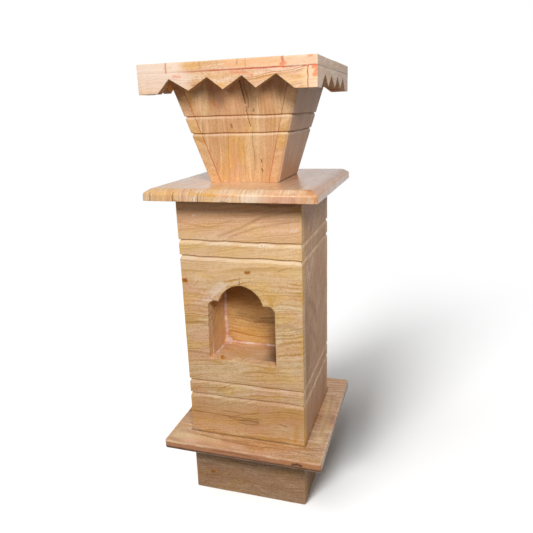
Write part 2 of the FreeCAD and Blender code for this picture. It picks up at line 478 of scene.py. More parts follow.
base_plate = node_block("base_plate")
round_upright_edges(base_plate, base_corner_radius)
ease_edges(base_plate, base_easing, meets_another("base_plate"), segments=8)
finish_slab(base_plate, "base_plate")

# %% [markdown]
# ## The niche's opening
# The opening is an old arch form: straight jambs, a small lobe on each side, then a pointed
# arch of two curves that meet over the middle. It was chiselled by eye, so its left side stands a few
# millimetres higher than its right. A ring of vertices is laid on that outline and drawn through the
# slab as a cutter. The outline is worked out from the opening's size, as arcs through three points.

# %% Opening outline
column_low, column_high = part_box("column_front")
niche_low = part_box("niche_floor")[1].z
opening_half_width = 72 * MM
opening_height = 166 * MM
right_side = ((0.957, 0.008), (0.957, 0.705), (0.860, 0.762), (0.632, 0.766), (0.462, 0.908))
left_side = ((-1.034, 0.034), (-1.000, 0.728), (-0.893, 0.790), (-0.682, 0.792), (-0.400, 0.955))
apex_point = (0.008, 1.012)
arc_steps = 14


def arc_through(start, middle, end, steps):
    """Points along the circle through three points, from the start up to just before the end."""
    a, b, c = [complex(*point) for point in (start, middle, end)]
    w = (c - a) / (b - a)
    centre = (b - a) * (w - abs(w) ** 2) / (2j * w.imag) + a
    radius = abs(a - centre)
    first = math.atan2((a - centre).imag, (a - centre).real)
    last = math.atan2((c - centre).imag, (c - centre).real)
    turn = (last - first + math.pi) % math.tau - math.pi
    points = []
    for number in range(steps):
        angle = first + turn * number / steps
        points.append((centre.real + radius * math.cos(angle), centre.imag + radius * math.sin(angle)))
    return points


def at_share(shares):
    """Place on the slab's face for shares of the opening's half width and height."""
    return shares[0] * opening_half_width, niche_low + shares[1] * opening_height


def half_outline(side):
    """Points from a foot of the opening up to just before the apex."""
    foot, jamb, lobe, cusp, arch = [at_share(shares) for shares in side]
    lower = arc_through(jamb, lobe, cusp, arc_steps // 2)
    return [foot] + lower + arc_through(cusp, arch, at_share(apex_point), arc_steps)


def opening_outline():
    """Points round the opening, from the right foot over the apex to the left foot."""
    return half_outline(right_side) + [at_share(apex_point)] + half_outline(left_side)[::-1]


def cutter_from_outline(outline, front, back):
    """Closed prism whose section is an outline in X and Z."""
    bpy.ops.object.select_all(action="DESELECT")
    bpy.ops.mesh.primitive_circle_add(vertices=len(outline), radius=1, fill_type="NGON")
    cutter = bpy.context.object
    for vertex, (x, z) in zip(cutter.data.vertices, outline):
        vertex.co = Vector((x, front, z))
    bpy.ops.object.mode_set(mode="EDIT")
    bpy.ops.mesh.select_all(action="SELECT")
    bpy.ops.mesh.extrude_region_move(TRANSFORM_OT_translate={"value": (0, back - front, 0)})
    bpy.ops.mesh.select_all(action="SELECT")
    bpy.ops.mesh.normals_make_consistent(inside=False)
    bpy.ops.object.mode_set(mode="OBJECT")
    return cutter


def cut_away(piece, cutter):
    """Cuts the cutter's shape out of a piece and throws the cutter away."""
    apply_modifier(piece, "BOOLEAN", operation="DIFFERENCE", solver="EXACT", object=cutter)
    bpy.data.objects.remove(cutter)


print("opening outline", len(opening_outline()), "points")


# %% [markdown]
# ## The column
# Four slabs of the same height. The front and back stand over the ends of the sides, so they carry
# the corners and the grooves turn round their ends. The opening is cut before the edges are
# eased, and the grooves are ground last, over the eased corners.

# %% Column
column_half = column_high.x
column_levels = [level * MM for level in (238, 270.5, 542.5, 575)]
# How pale each groove's lip is tinted: partly wear, partly a painted highlight.
column_lips_wear_and_sheen = [0.35, 0.45, 0.9, 1.0]
right_lips_wear_and_sheen = [1.0, 1.0, 1.0, 1.0]
column_waver = 4.0 * MM
column_lip_height = 7.0 * MM
column_easing = 1.3 * MM
cutter_overrun = 5 * MM


def make_column_slab(name):
    """One slab of the column."""
    slab = node_block(name)
    if name == "column_front":
        cut_away(slab, cutter_from_outline(
            opening_outline(), column_low.y - cutter_overrun, column_high.y + cutter_overrun))
    ease_edges(slab, column_easing, meets_another(name), ruled=True)
    lips_wear_and_sheen = right_lips_wear_and_sheen if name == "column_right" else column_lips_wear_and_sheen
    for level, lip_wear_and_sheen in zip(column_levels, lips_wear_and_sheen):
        cut_groove(slab, level, column_half, column_half, column_groove_depth, column_lip_height,
                   lip_wear_and_sheen)
    cut_cells(slab, cell_size)
    waver_grooves(slab, column_levels, column_waver)
    dress_by_hand(slab, dress_amount)
    smooth_shading(slab)
    hand_over(slab, name)


for name in ("column_front", "column_back", "column_left", "column_right"):
    make_column_slab(name)

# %% [markdown]
# ## The lamp niche
# Five thinner slabs make the box behind the opening. They are plain, rubbed smooth, and set a
# little behind the edge of the opening.

# %% Niche slabs
niche_easing = 0.8 * MM
niche_dressing = 1.4 * MM

for name in ("niche_floor", "niche_left", "niche_right", "niche_back", "niche_ceiling"):
    slab = node_block(name)
    ease_edges(slab, niche_easing, meets_another(name))
    finish_slab(slab, name, amount=niche_dressing)

# %% [markdown]
# ## The filler in the niche
# Cement was smeared into the niche's inner corners by finger. Straight three-sided beads follow the
# corners, a lump sits where they meet, and a voxel remesh melts them into one skin. Noise then makes
# it uneven.

# %% Niche filler
filler_low, filler_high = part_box("niche_joint_filler")
filler_voxel = 1.2 * MM
bead_sink = 1.5 * MM
upright_bead = 6 * MM
flat_bead = 4 * MM
lump_radius = {1: 11 * MM, -1: 8 * MM}
lump_inset = 5 * MM
lump_lift = 4 * MM


def corner_bead(corner, leg_one, leg_two, run):
    """Three-sided bead in a corner: a block whose far edge is sawn off."""
    one, two = leg_one.normalized(), leg_two.normalized()
    start = corner - (one + two) * bead_sink
    end = corner + leg_one + leg_two + run
    low = [min(start[axis], end[axis]) for axis in (X, Y, Z)]
    high = [max(start[axis], end[axis]) for axis in (X, Y, Z)]
    bead = saw_block("bead", low, high)
    only(bead)
    bpy.ops.object.mode_set(mode="EDIT")
    bpy.ops.mesh.select_all(action="SELECT")
    normal = one * leg_two.length + two * leg_one.length
    bpy.ops.mesh.bisect(plane_co=corner + leg_one, plane_no=normal, use_fill=True, clear_outer=True)
    bpy.ops.object.mode_set(mode="OBJECT")
    return bead


def make_niche_filler():
    """The beads of the niche, melted into one."""
    left, right = filler_low.x, filler_high.x
    front, back = filler_low.y, filler_high.y
    floor, roof = filler_low.z, filler_high.z
    beads = [corner_bead(Vector((left, back, floor)), along(Y, -flat_bead), along(Z, flat_bead),
                         along(X, right - left))]
    for side, inwards in ((left, 1), (right, -1)):
        corner = Vector((side, back, floor))
        beads.append(corner_bead(corner, along(X, inwards * upright_bead), along(Y, -upright_bead),
                                 along(Z, roof - floor)))
        beads.append(corner_bead(corner, along(X, inwards * flat_bead), along(Z, flat_bead),
                                 along(Y, front - back)))
        bpy.ops.object.select_all(action="DESELECT")
        lump_place = corner + Vector((inwards * lump_inset, -lump_inset, lump_lift))
        bpy.ops.mesh.primitive_ico_sphere_add(subdivisions=3, radius=lump_radius[inwards],
                                              location=lump_place)
        lump = bpy.context.object
        bpy.ops.object.transform_apply(location=True, rotation=True, scale=True)
        beads.append(lump)
    bpy.ops.object.select_all(action="DESELECT")
    for bead in beads:
        bead.select_set(True)
    bpy.context.view_layer.objects.active = beads[0]
    bpy.ops.object.join()
    filler = bpy.context.object
    filler.name = "niche_joint_filler_smeared"
    apply_modifier(filler, "REMESH", mode="VOXEL", voxel_size=filler_voxel, use_smooth_shade=True)
    apply_modifier(filler, "SMOOTH", factor=0.5, iterations=6)
    apply_modifier(filler, "DISPLACE", texture=soft_noise("filler_lumps", 9 * MM),
                   texture_coords="LOCAL", direction="NORMAL", strength=3.0 * MM, mid_level=0.55)
    return filler


niche_filler = make_niche_filler()
smooth_shading(niche_filler, 60)
hand_over(niche_filler, "niche_joint_filler")

# %% [markdown]
# ## The cap plate
# The best polished piece: one plate with a wide chamfer round its top, rubbed nearly round. The
# plate is sawn level where the chamfer starts, its top face is drawn in, and the bevel
# rounds both edges of the slope with several segments. It is dressed very little, because it works as a
# mirror for the pot.

# %% Cap plate
cap_low, cap_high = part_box("cap_plate")
cap_chamfer_width = 12 * MM
cap_chamfer_height = 8 * MM
cap_corner_radius = 4 * MM
cap_easing = 5.5 * MM
cap_dressing = 0.45 * MM

cap_plate = node_block("cap_plate")
round_upright_edges(cap_plate, cap_corner_radius)
saw_through(cap_plate, Z, [cap_high.z - cap_chamfer_height])
top_factors = (1 - cap_chamfer_width / cap_high.x, 1 - cap_chamfer_width / cap_high.y, 1)
pull_in(cap_plate, lambda place: place.z > cap_high.z - HAIR, top_factors, Vector((0, 0, cap_high.z)))
ease_edges(cap_plate, cap_easing, lambda place: place.z < cap_low.z + HAIR, segments=10,
           steepest=20.0)
finish_slab(cap_plate, "cap_plate", amount=cap_dressing)

# %% [markdown]
# ## The pot
# Four leaning slabs stand on the cap plate. The left and right ones run through to the front and
# back faces, and the other two stand between them. Each starts as a block, whose top and bottom
# corners are then set to the pot's flare. The weep hole at the back of the floor lets rain out.

# %% Pot sizes
pot_low, pot_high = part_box("pot_left")
pot_half_top = Vector((-pot_low.x, pot_high.y, pot_high.z))
pot_side_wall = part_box("rim_left")[1].x - pot_low.x
pot_end_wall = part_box("rim_front")[1].y - pot_low.y
pot_foot_half_depth = 72 * MM
pot_half_bottom = Vector((pot_side_wall - pot_high.x, pot_foot_half_depth, pot_low.z))
pot_levels = [level * MM for level in (776, 807)]
pot_groove_depth = 3.2 * MM
pot_waver = 2.4 * MM
pot_lip_height = 3.6 * MM
pot_easing = 1.8 * MM
print("pot halves", pot_half_bottom, pot_half_top, "walls", pot_side_wall, pot_end_wall)


def pot_half_at(level):
    """Half width and half depth of the pot's outside at a level."""
    share = (level - pot_half_bottom.z) / (pot_half_top.z - pot_half_bottom.z)
    middle = pot_half_bottom.lerp(pot_half_top, share)
    return middle.x, middle.y


def lean(piece, corners_at):
    """Sets a block's bottom and top corners, so that it leans with the pot."""
    low, high = piece_box(piece)
    middle = (low + high) / 2
    for vertex in piece.data.vertices:
        place = vertex.co
        half = pot_half_bottom if place.z < middle.z else pot_half_top
        (low_x, high_x), (low_y, high_y) = corners_at(half)
        place.x = low_x if place.x < middle.x else high_x
        place.y = low_y if place.y < middle.y else high_y


pot_corners = {
    "pot_left": lambda half: ((-half.x, pot_side_wall - half.x), (-half.y, half.y)),
    "pot_right": lambda half: ((half.x - pot_side_wall, half.x), (-half.y, half.y)),
    "pot_front": lambda half: ((pot_side_wall - half.x, half.x - pot_side_wall),
                               (-half.y, pot_end_wall - half.y)),
    "pot_back": lambda half: ((pot_side_wall - half.x, half.x - pot_side_wall),
                              (half.y - pot_end_wall, half.y)),
}

# %% Pot slabs
weep_hole_radius = 6 * MM
weep_hole_level = pot_low.z + 14 * MM
weep_hole_steps = 32
corner_margin = 2 * MM


def inside_corner(place):
    """Whether a place is away from the pot's four slanting corners."""
    half_width, half_depth = pot_half_at(place.z)
    return abs(place.x) < half_width - corner_margin or abs(place.y) < half_depth - corner_margin


for name, corners_at in pot_corners.items():
    slab = node_block(name)
    lean(slab, corners_at)
    if name == "pot_back":
        ring = [(weep_hole_radius * math.cos(math.tau * number / weep_hole_steps),
                 weep_hole_level + weep_hole_radius * math.sin(math.tau * number / weep_hole_steps))
                for number in range(weep_hole_steps)]
        cut_away(slab, cutter_from_outline(ring, 0, pot_high.y))
    ease_edges(slab, pot_easing, inside_corner)
    for level in pot_levels:
        half_width, half_depth = pot_half_at(level + groove_root)
        cut_groove(slab, level, half_width, half_depth, pot_groove_depth, pot_lip_height)
    cut_cells(slab, cell_size)
    waver_grooves(slab, pot_levels, pot_waver)
    dress_by_hand(slab, dress_amount)
    smooth_shading(slab)
    hand_over(slab, name)

# %% [markdown]
# ## The canopy
# The rim is a flat frame of four strips. Under its edge hang four fascia boards whose lower edge is cut to
# a zigzag: four notches between two plain ends. A board is sawn at each tip and each peak,
# and the lower vertices are pushed up there, the peaks far and the tips a little. The front board
# was cut by eye, so there each corner of the zigzag strays a few millimetres to one side.

# %% Rim
canopy_easing = 0.9 * MM
canopy_cell = 7 * MM

for name in ("rim_left", "rim_right", "rim_front", "rim_back"):
    strip = node_block(name)
    ease_edges(strip, canopy_easing, meets_another(name), ruled=True)
    finish_slab(strip, name, cell=canopy_cell)

# %% Fascia
fascia_end_block = 34 * MM
notch_height = 24 * MM
tooth_lift = 3 * MM
notch_count = 4
canopy_half = {X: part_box("fascia_right")[1].x, Y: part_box("fascia_left")[1].y}
front_slips = [slip * MM for slip in (3.3, -5.3, -1.3, 2.0, -2.5, 1.3, -7.0, -3.0, -3.8)]


def cut_zigzag(board, axis, half_length, slips=None):
    """Cuts the zigzag along a board's lower edge. Slips are how far each peak and tip strays."""
    bottom = piece_box(board)[0].z
    pitch = (2 * half_length - 2 * fascia_end_block) / notch_count
    start = -half_length + fascia_end_block
    corners = {start: 0.0, -start: 0.0}
    for number in range(notch_count):
        corners[start + (number + 0.5) * pitch] = notch_height
    for number in range(1, notch_count):
        corners[start + number * pitch] = tooth_lift
    slips = slips or [0.0] * len(corners)
    strayed = {at + slip: lift for (at, lift), slip in zip(sorted(corners.items()), slips)}
    saw_through(board, axis, list(strayed))
    for at, lift in strayed.items():
        if lift:
            push(board, lambda place: place.z < bottom + HAIR and abs(place[axis] - at) < HAIR,
                 along(Z, lift))


for name in ("fascia_front", "fascia_back", "fascia_left", "fascia_right"):
    board = node_block(name)
    axis = X if name in ("fascia_front", "fascia_back") else Y
    cut_zigzag(board, axis, canopy_half[axis], front_slips if name == "fascia_front" else None)
    ease_edges(board, canopy_easing, meets_another(name))
    finish_slab(board, name, cell=canopy_cell)

# %% [markdown]
# ## Small tools for finishes
# A finish is a tree of shader nodes. A few small tools keep the trees short to read: one adds a node
# and wires it, two do arithmetic, one mixes two colours, and one makes a soft noise field. An effect
# that many finishes share is a node group, so one more tool starts a group with named sockets.

# %% Node tools


def srgb(red, green, blue):
    """Linear colour for a colour as a screen shows it, in steps of 255."""
    def linear(step):
        share = step / 255
        return share / 12.92 if share <= 0.04045 else ((share + 0.055) / 1.055) ** 2.4
    return linear(red), linear(green), linear(blue), 1.0


def wire(tree, source, socket):
    """Feeds a socket from another socket, or with a plain value."""
    if isinstance(source, bpy.types.NodeSocket):
        tree.links.new(source, socket)
    else:
        socket.default_value = source


def add_node(tree, kind, wires=None, **settings):
    """Adds a node with its settings and feeds its sockets."""
    node = tree.nodes.new("ShaderNode" + kind)
    for name, value in settings.items():
        setattr(node, name, value)
    for socket, source in (wires or {}).items():
        wire(tree, source, node.inputs[socket])
    return node


def calc(tree, operation, *values):
    """One step of arithmetic on numbers."""
    return add_node(tree, "Math", dict(enumerate(values)), operation=operation).outputs[0]


def vector_calc(tree, operation, *values, output="Vector"):
    """One step of arithmetic on vectors."""
    node = add_node(tree, "VectorMath", dict(enumerate(values)), operation=operation)
    return node.outputs[output]


def ramp(tree, value, start, end):
    """Soft step from 0 at start to 1 at end. The end may lie below the start."""
    node = add_node(tree, "MapRange", {"Value": value, "From Min": start, "From Max": end},
                    interpolation_type="SMOOTHSTEP")
    return node.outputs["Result"]


def tint(tree, amount, first, second):
    """Mixes two colours."""
    node = add_node(tree, "Mix", {0: amount, 6: first, 7: second}, data_type="RGBA")
    return node.outputs[2]


def soft_field(tree, place, lumps, detail=2.0):
    """Noise from about 0.2 to 0.8, with a number of lumps in a metre along each axis."""
    stretched = vector_calc(tree, "MULTIPLY", place, lumps)
    return add_node(tree, "TexNoise", {"Vector": stretched, "Scale": 1.0, "Detail": detail}).outputs[0]


def start_group(name, inputs, outputs):
    """Starts a node group. Gives its tree, what comes in and what goes out."""
    tree = bpy.data.node_groups.new(name, "ShaderNodeTree")
    for label, kind in inputs:
        tree.interface.new_socket(label, in_out="INPUT", socket_type="NodeSocket" + kind)
    for label, kind in outputs:
        tree.interface.new_socket(label, in_out="OUTPUT", socket_type="NodeSocket" + kind)
    return tree, tree.nodes.new("NodeGroupInput").outputs, tree.nodes.new("NodeGroupOutput").inputs


def use_group(tree, group, wires):
    """Places a group in a tree and feeds its named sockets."""
    node = tree.nodes.new("ShaderNodeGroup")
    node.node_tree = group
    for socket, source in wires.items():
        wire(tree, source, node.inputs[socket])
    return node.outputs


# %% [markdown]
# ## The figure of the sandstone
# This sandstone was laid down in thin beds, and rusty water drew lines through them, so a sawn face
# looks like a plank. The group makes a level that wanders up and down, and draws one line for
# each step of that level: each line darkens slowly and ends sharply, as a growth ring does. Chance makes
# most lines faint and a few strong. Broad bands, fine streaks, two kinds of stain, a mottle and a fleck
# complete it. A noise texture alone would give clouds, and a wave texture alone would give stripes of
# one strength.

# %% Figure group
figure, given, made = start_group(
    "sandstone_figure",
    (("Place", "Vector"), ("Spacing", "Float"), ("Waviness", "Float")),
    (("Lines", "Float"), ("Bands", "Float"), ("Streaks", "Float"), ("Blush", "Float"),
     ("Ochre", "Float"), ("Fleck", "Float"), ("Mottle", "Float"), ("Height", "Float")))


ripple_share = 0.22
drift_steps = 6.0
line_starts = 0.35
line_full = 0.93
line_ends = 0.94
strength_power = 1.6
least_strength = 0.25
least_patch = 0.25
fine_spacing = 0.58
fine_strength = 0.8
streak_height = 0.35
fleck_height = 0.5
line_height = -0.8


def lay_beds(tree, given):
    """Place whose third coordinate is the wandering level of the beds."""
    swing = soft_field(tree, given["Place"], (3.5, 3.5, 7.0), 1.5)
    ripple = soft_field(tree, given["Place"], (15.0, 15.0, 40.0), 3.0)
    wander = calc(tree, "MULTIPLY_ADD", calc(tree, "SUBTRACT", ripple, 0.5), ripple_share,
                  calc(tree, "SUBTRACT", swing, 0.5))
    lift = calc(tree, "MULTIPLY", wander, given["Waviness"])
    lifted = add_node(tree, "CombineXYZ", {"Z": lift}).outputs[0]
    return vector_calc(tree, "ADD", given["Place"], lifted)


def draw_lines(tree, laid, spacing):
    """Lines along the beds, each with its own strength."""
    level = add_node(tree, "SeparateXYZ", {"Vector": laid}).outputs["Z"]
    drift = soft_field(tree, vector_calc(tree, "MULTIPLY", laid, (0.0, 0.0, 1.0)), (0.0, 0.0, 38.0))
    steps = calc(tree, "MULTIPLY_ADD", drift, drift_steps, calc(tree, "DIVIDE", level, spacing))
    within = calc(tree, "FRACT", steps)
    line = calc(tree, "MULTIPLY", ramp(tree, within, line_starts, line_full),
                ramp(tree, within, 1.0, line_ends))
    chance = add_node(tree, "TexWhiteNoise", {"W": calc(tree, "FLOOR", steps)}, noise_dimensions="1D")
    strength = calc(tree, "MULTIPLY_ADD", calc(tree, "POWER", chance.outputs["Value"], strength_power),
                    1 - least_strength, least_strength)
    patchy = ramp(tree, soft_field(tree, laid, (9.0, 9.0, 34.0), 3.0), 0.36, 0.60)
    return calc(tree, "MULTIPLY", calc(tree, "MULTIPLY", line, strength),
                calc(tree, "MULTIPLY_ADD", patchy, 1 - least_patch, least_patch))


laid = lay_beds(figure, given)
coarse_lines = draw_lines(figure, laid, given["Spacing"])
fine_lines = draw_lines(figure, laid, calc(figure, "MULTIPLY", given["Spacing"], fine_spacing))
lines = calc(figure, "MAXIMUM", coarse_lines, calc(figure, "MULTIPLY", fine_lines, fine_strength))
wire(figure, lines, made["Lines"])

# Each stain: where it is read, its lumps in a metre, its detail, and the noise where it starts and fills
blush_place = vector_calc(figure, "ADD", laid, (3.1, 1.7, 5.3))
ochre_place = vector_calc(figure, "ADD", laid, (7.7, 4.2, 9.1))
stains = {
    "Bands": (laid, (1.8, 1.8, 27.0), 3.0, 0.33, 0.67),
    "Streaks": (laid, (26.0, 26.0, 340.0), 4.0, 0.30, 0.70),
    "Blush": (blush_place, (7.0, 7.0, 15.0), 4.0, 0.46, 0.66),
    "Ochre": (ochre_place, (11.0, 11.0, 30.0), 5.0, 0.48, 0.64),
    "Mottle": (laid, (34.0, 34.0, 110.0), 5.0, 0.36, 0.66),
}
masks = {}
for label, (at, lumps, detail, start, full) in stains.items():
    masks[label] = ramp(figure, soft_field(figure, at, lumps, detail), start, full)
    wire(figure, masks[label], made[label])
fleck = soft_field(figure, given["Place"], (260.0, 260.0, 400.0), 4.0)
wire(figure, fleck, made["Fleck"])
grain_height = calc(figure, "MULTIPLY_ADD", masks["Streaks"], streak_height,
                    calc(figure, "MULTIPLY", fleck, fleck_height))
wire(figure, calc(figure, "MULTIPLY_ADD", lines, line_height, grain_height), made["Height"])
print("figure group", len(figure.nodes), "nodes")

# %% [markdown]
# ## Wear with painted edge light, seams and strokes
# Four more shared effects. Rubbed edges, lips and ground grooves follow attributes that the meshes carry;
# their tints are partly wear and dirt and partly painted highlight and shade.
# A seam is the thin line of tinted filler in a joint: all places near one plane, where a noise lets
# it break off; a few seams are painted shade along an edge instead. A stroke is everything within some
# width of a straight run between two points of a face. It is worked out from three plain distances, because
# a finish with many strokes has little room for vectors. Vein, crack, rust spot and patch are all strokes,
# so none of them needs a picture, and so are a few painted shadows and painted lights. A ragged place
# shakes the coordinates first, so that no stroke has a ruled edge.

# %% Wear and painted edge light group
wear_and_painted_light, given, made = start_group(
    "rubbed_edges_and_painted_light", (("Place", "Vector"),), (("Arris", "Float"), ("Groove", "Float"), ("Lip", "Float")))
patchy = ramp(wear_and_painted_light, soft_field(wear_and_painted_light, given["Place"], (30.0, 30.0, 30.0), 3.0), 0.35, 0.60)
for label, least in ((ARRIS, 0.35), (GROOVE, 0.8), (LIP, 0.45)):
    marked = add_node(wear_and_painted_light, "Attribute", attribute_name=label, attribute_type="GEOMETRY").outputs["Fac"]
    kept = calc(wear_and_painted_light, "MULTIPLY_ADD", patchy, 1 - least, least)
    wire(wear_and_painted_light, calc(wear_and_painted_light, "MULTIPLY", marked, kept), made[label.capitalize()])

# %% Ragged place group
ragged, given, made = start_group(
    "ragged_place", (("Place", "Vector"), ("Amount", "Float")), (("Place", "Vector"),))
shake = add_node(ragged, "TexNoise", {"Vector": given["Place"], "Scale": 160.0, "Detail": 3.0})
centred = vector_calc(ragged, "SUBTRACT", shake.outputs["Color"], (0.5, 0.5, 0.5))
scaled = vector_calc(ragged, "MULTIPLY", centred, given["Amount"])
wire(ragged, vector_calc(ragged, "ADD", given["Place"], scaled), made["Place"])

# %% Seam group
seam_core = 0.6
seam_least = 0.65
seam_line, given, made = start_group(
    "seam_line", (("Place", "Vector"), ("Normal", "Vector"), ("Offset", "Float"), ("Width", "Float")),
    (("Mask", "Float"),))
height = vector_calc(seam_line, "DOT_PRODUCT", given["Place"], given["Normal"], output="Value")
gap = calc(seam_line, "ABSOLUTE", calc(seam_line, "SUBTRACT", height, given["Offset"]))
near = ramp(seam_line, gap, given["Width"], calc(seam_line, "MULTIPLY", given["Width"], seam_core))
broken = ramp(seam_line, soft_field(seam_line, given["Place"], (22.0, 22.0, 22.0), 3.0), 0.34, 0.56)
kept = calc(seam_line, "MULTIPLY_ADD", broken, 1 - seam_least, seam_least)
wire(seam_line, calc(seam_line, "MULTIPLY", near, kept), made["Mask"])

# %% Stroke group
stroke_depth = 4 * MM
face_limit = 100.0
stroke_run, given, made = start_group(
    "stroke_run", (("Place", "Vector"), ("Along", "Vector"), ("Across", "Vector"), ("Out", "Vector"),
                   ("Middle Along", "Float"), ("Middle Across", "Float"), ("Face", "Float"),
                   ("Half Length", "Float"), ("Outer", "Float"), ("Inner", "Float")),
    (("Mask", "Float"),))


def off_middle(tree, place, way, middle):
    """How far a place lies from a middle along one way."""
    along_way = vector_calc(tree, "DOT_PRODUCT", place, way, output="Value")
    return calc(tree, "ABSOLUTE", calc(tree, "SUBTRACT", along_way, middle))


ahead = off_middle(stroke_run, given["Place"], given["Along"], given["Middle Along"])
aside = off_middle(stroke_run, given["Place"], given["Across"], given["Middle Across"])
under = off_middle(stroke_run, given["Place"], given["Out"], given["Face"])
past_end = calc(stroke_run, "MAXIMUM", calc(stroke_run, "SUBTRACT", ahead, given["Half Length"]), 0.0)
past_end_squared = calc(stroke_run, "MULTIPLY", past_end, past_end)
around = calc(stroke_run, "SQRT", calc(stroke_run, "MULTIPLY_ADD", aside, aside, past_end_squared))
too_deep = calc(stroke_run, "MULTIPLY", calc(stroke_run, "SUBTRACT", under, stroke_depth), face_limit)
gap = calc(stroke_run, "MAXIMUM", around, too_deep)
wire(stroke_run, ramp(stroke_run, gap, given["Outer"], given["Inner"]), made["Mask"])


def stroke_mask(tree, place, out, start, end, width, softness):
    """Mask of one straight run on the face that looks out."""
    run = (end - start).normalized()
    across = out.cross(run)
    middle = (start + end) / 2
    return use_group(tree, stroke_run, {
        "Place": place, "Along": run, "Across": across, "Out": out,
        "Middle Along": middle.dot(run), "Middle Across": middle.dot(across), "Face": middle.dot(out),
        "Half Length": (end - start).length / 2,
        "Outer": width / 2 * (1 + softness), "Inner": width / 2 * (1 - softness)})["Mask"]


print("shared groups", [group.name for group in bpy.data.node_groups])

# %% [markdown]
# ## Laying a stone finish
# One function lays the whole finish of a piece from a recipe: the ground colours of its block, then
# lines, stains and flecks, then its seams and strokes, and last the tints of its edges, lips and groove
# roots, which are partly wear and dirt and partly painted highlight and shade, and a painted shade on what
# looks down.
# A recipe is a small dictionary, and a piece's own recipe changes only what differs from its family. A
# mapping node slides and turns the figure, because each slab was sawn from another place in the quarry.

# %% Stone finish
# The edge and lip colours are partly wear and partly painted highlight; the groove colour is partly dirt
# and partly painted shade.
golden = dict(light=srgb(255, 230, 190), dark=srgb(255, 208, 164), line=srgb(192, 132, 40),
              blush=srgb(250, 194, 166), ochre=srgb(255, 208, 106), edge=srgb(238, 186, 84),
              groove=srgb(160, 108, 62), lip=srgb(255, 240, 214), shade=srgb(222, 168, 104),
              lines=1.3, streaks=0.3, mottle=0.25, flecks=0.45, blush_share=0.7, ochre_share=0.45,
              edge_share=0.8, groove_share=0.6, lip_share=0.6, underside_shade_share=0.0,
              spacing=8 * MM, waviness=80 * MM, turn=(0, 0, 0), shift=(0, 0, 0),
              roughness=0.5, bump=0.45, gloss=0.2)
# Colour of the painted shade on faces that look down.
underside_shade = srgb(150, 108, 64)
seam_shake = 1.2 * MM
stroke_shake = 3.5 * MM
roughness_swing = 0.22
roughness_drop = 0.06
grain_relief = 0.6 * MM


def tint_by(tree, colour, mask, share, shade):
    """Tints a colour with a shade, as far as a share of a mask says."""
    return tint(tree, calc(tree, "MULTIPLY", mask, share), colour, shade)


def lay_figure(tree, at, recipe):
    """Ground colour and height of the figure."""
    turn = [math.radians(angle) for angle in recipe["turn"]]
    placed = add_node(tree, "Mapping", {"Vector": at, "Location": recipe["shift"], "Rotation": turn})
    seen = use_group(tree, figure, {"Place": placed.outputs[0], "Spacing": recipe["spacing"],
                                    "Waviness": recipe["waviness"]})
    colour = tint(tree, seen["Bands"], recipe["light"], recipe["dark"])
    for mask, share, shade in (
            ("Blush", "blush_share", "blush"), ("Ochre", "ochre_share", "ochre"),
            ("Streaks", "streaks", "line"), ("Lines", "lines", "line"), ("Mottle", "mottle", "shade")):
        colour = tint_by(tree, colour, seen[mask], recipe[share], recipe[shade])
    specks = ramp(tree, seen["Fleck"], 0.48, 0.68)
    return tint_by(tree, colour, specks, recipe["flecks"], recipe["line"]), seen["Height"]


def draw_seams(tree, colour, place, seams):
    """Thin lines of filler over a colour."""
    for shade, amount, normal, offset, width in seams:
        mask = use_group(tree, seam_line, {"Place": place, "Normal": normal, "Offset": offset,
                                           "Width": width})["Mask"]
        colour = tint_by(tree, colour, mask, amount, shade)
    return colour


def draw_marks(tree, colour, place, marks):
    """The strokes of each face over a colour. A stroke's width is in millimetres."""
    strokes = [(out, *stroke) for out, face_strokes in marks for stroke in face_strokes]
    for out, shade, amount, width, softness, points in strokes:
        mask = 0.0
        for start, end in zip(points, points[1:]):
            run = stroke_mask(tree, place, out, start, end, width * MM, softness)
            mask = calc(tree, "MAXIMUM", mask, run)
        colour = tint_by(tree, colour, mask, amount, shade)
    return colour


def draw_wear_and_painted_light(tree, colour, at, recipe):
    """Pale lips and edges, partly wear and partly painted highlight; dark groove roots, partly dirt and
    partly painted shade; and painted shade on what looks down.
    """
    wear_and_light_masks = use_group(tree, wear_and_painted_light, {"Place": at})
    for place in (LIP, GROOVE, ARRIS):
        name = "edge" if place == ARRIS else place
        colour = tint_by(tree, colour, wear_and_light_masks[place.capitalize()], recipe[name + "_share"], recipe[name])
    # Painted shade on faces that look down.
    if recipe["underside_shade_share"]:
        facing = add_node(tree, "NewGeometry").outputs["Normal"]
        down = vector_calc(tree, "DOT_PRODUCT", facing, (0, 0, -1), output="Value")
        colour = tint_by(tree, colour, ramp(tree, down, 0.25, 0.6), recipe["underside_shade_share"], underside_shade)
    return colour


def start_finish(piece_name):
    """Gives a piece its own material. Gives back the tree, the shader and the Object coordinates."""
    finish = bpy.data.materials.new(piece_name + "_finish")
    finish.use_nodes = True
    stones[piece_name].data.materials.clear()
    stones[piece_name].data.materials.append(finish)
    tree = finish.node_tree
    return tree, tree.nodes["Principled BSDF"], add_node(tree, "TexCoord").outputs["Object"]


def feed_skin(tree, shader, colour, rough, height, relief, strength):
    """Feeds a shader its colour, its roughness and the bump of a height."""
    bump = add_node(tree, "Bump", {"Height": height, "Distance": relief, "Strength": strength})
    wire(tree, colour, shader.inputs["Base Color"])
    wire(tree, rough, shader.inputs["Roughness"])
    wire(tree, bump.outputs["Normal"], shader.inputs["Normal"])


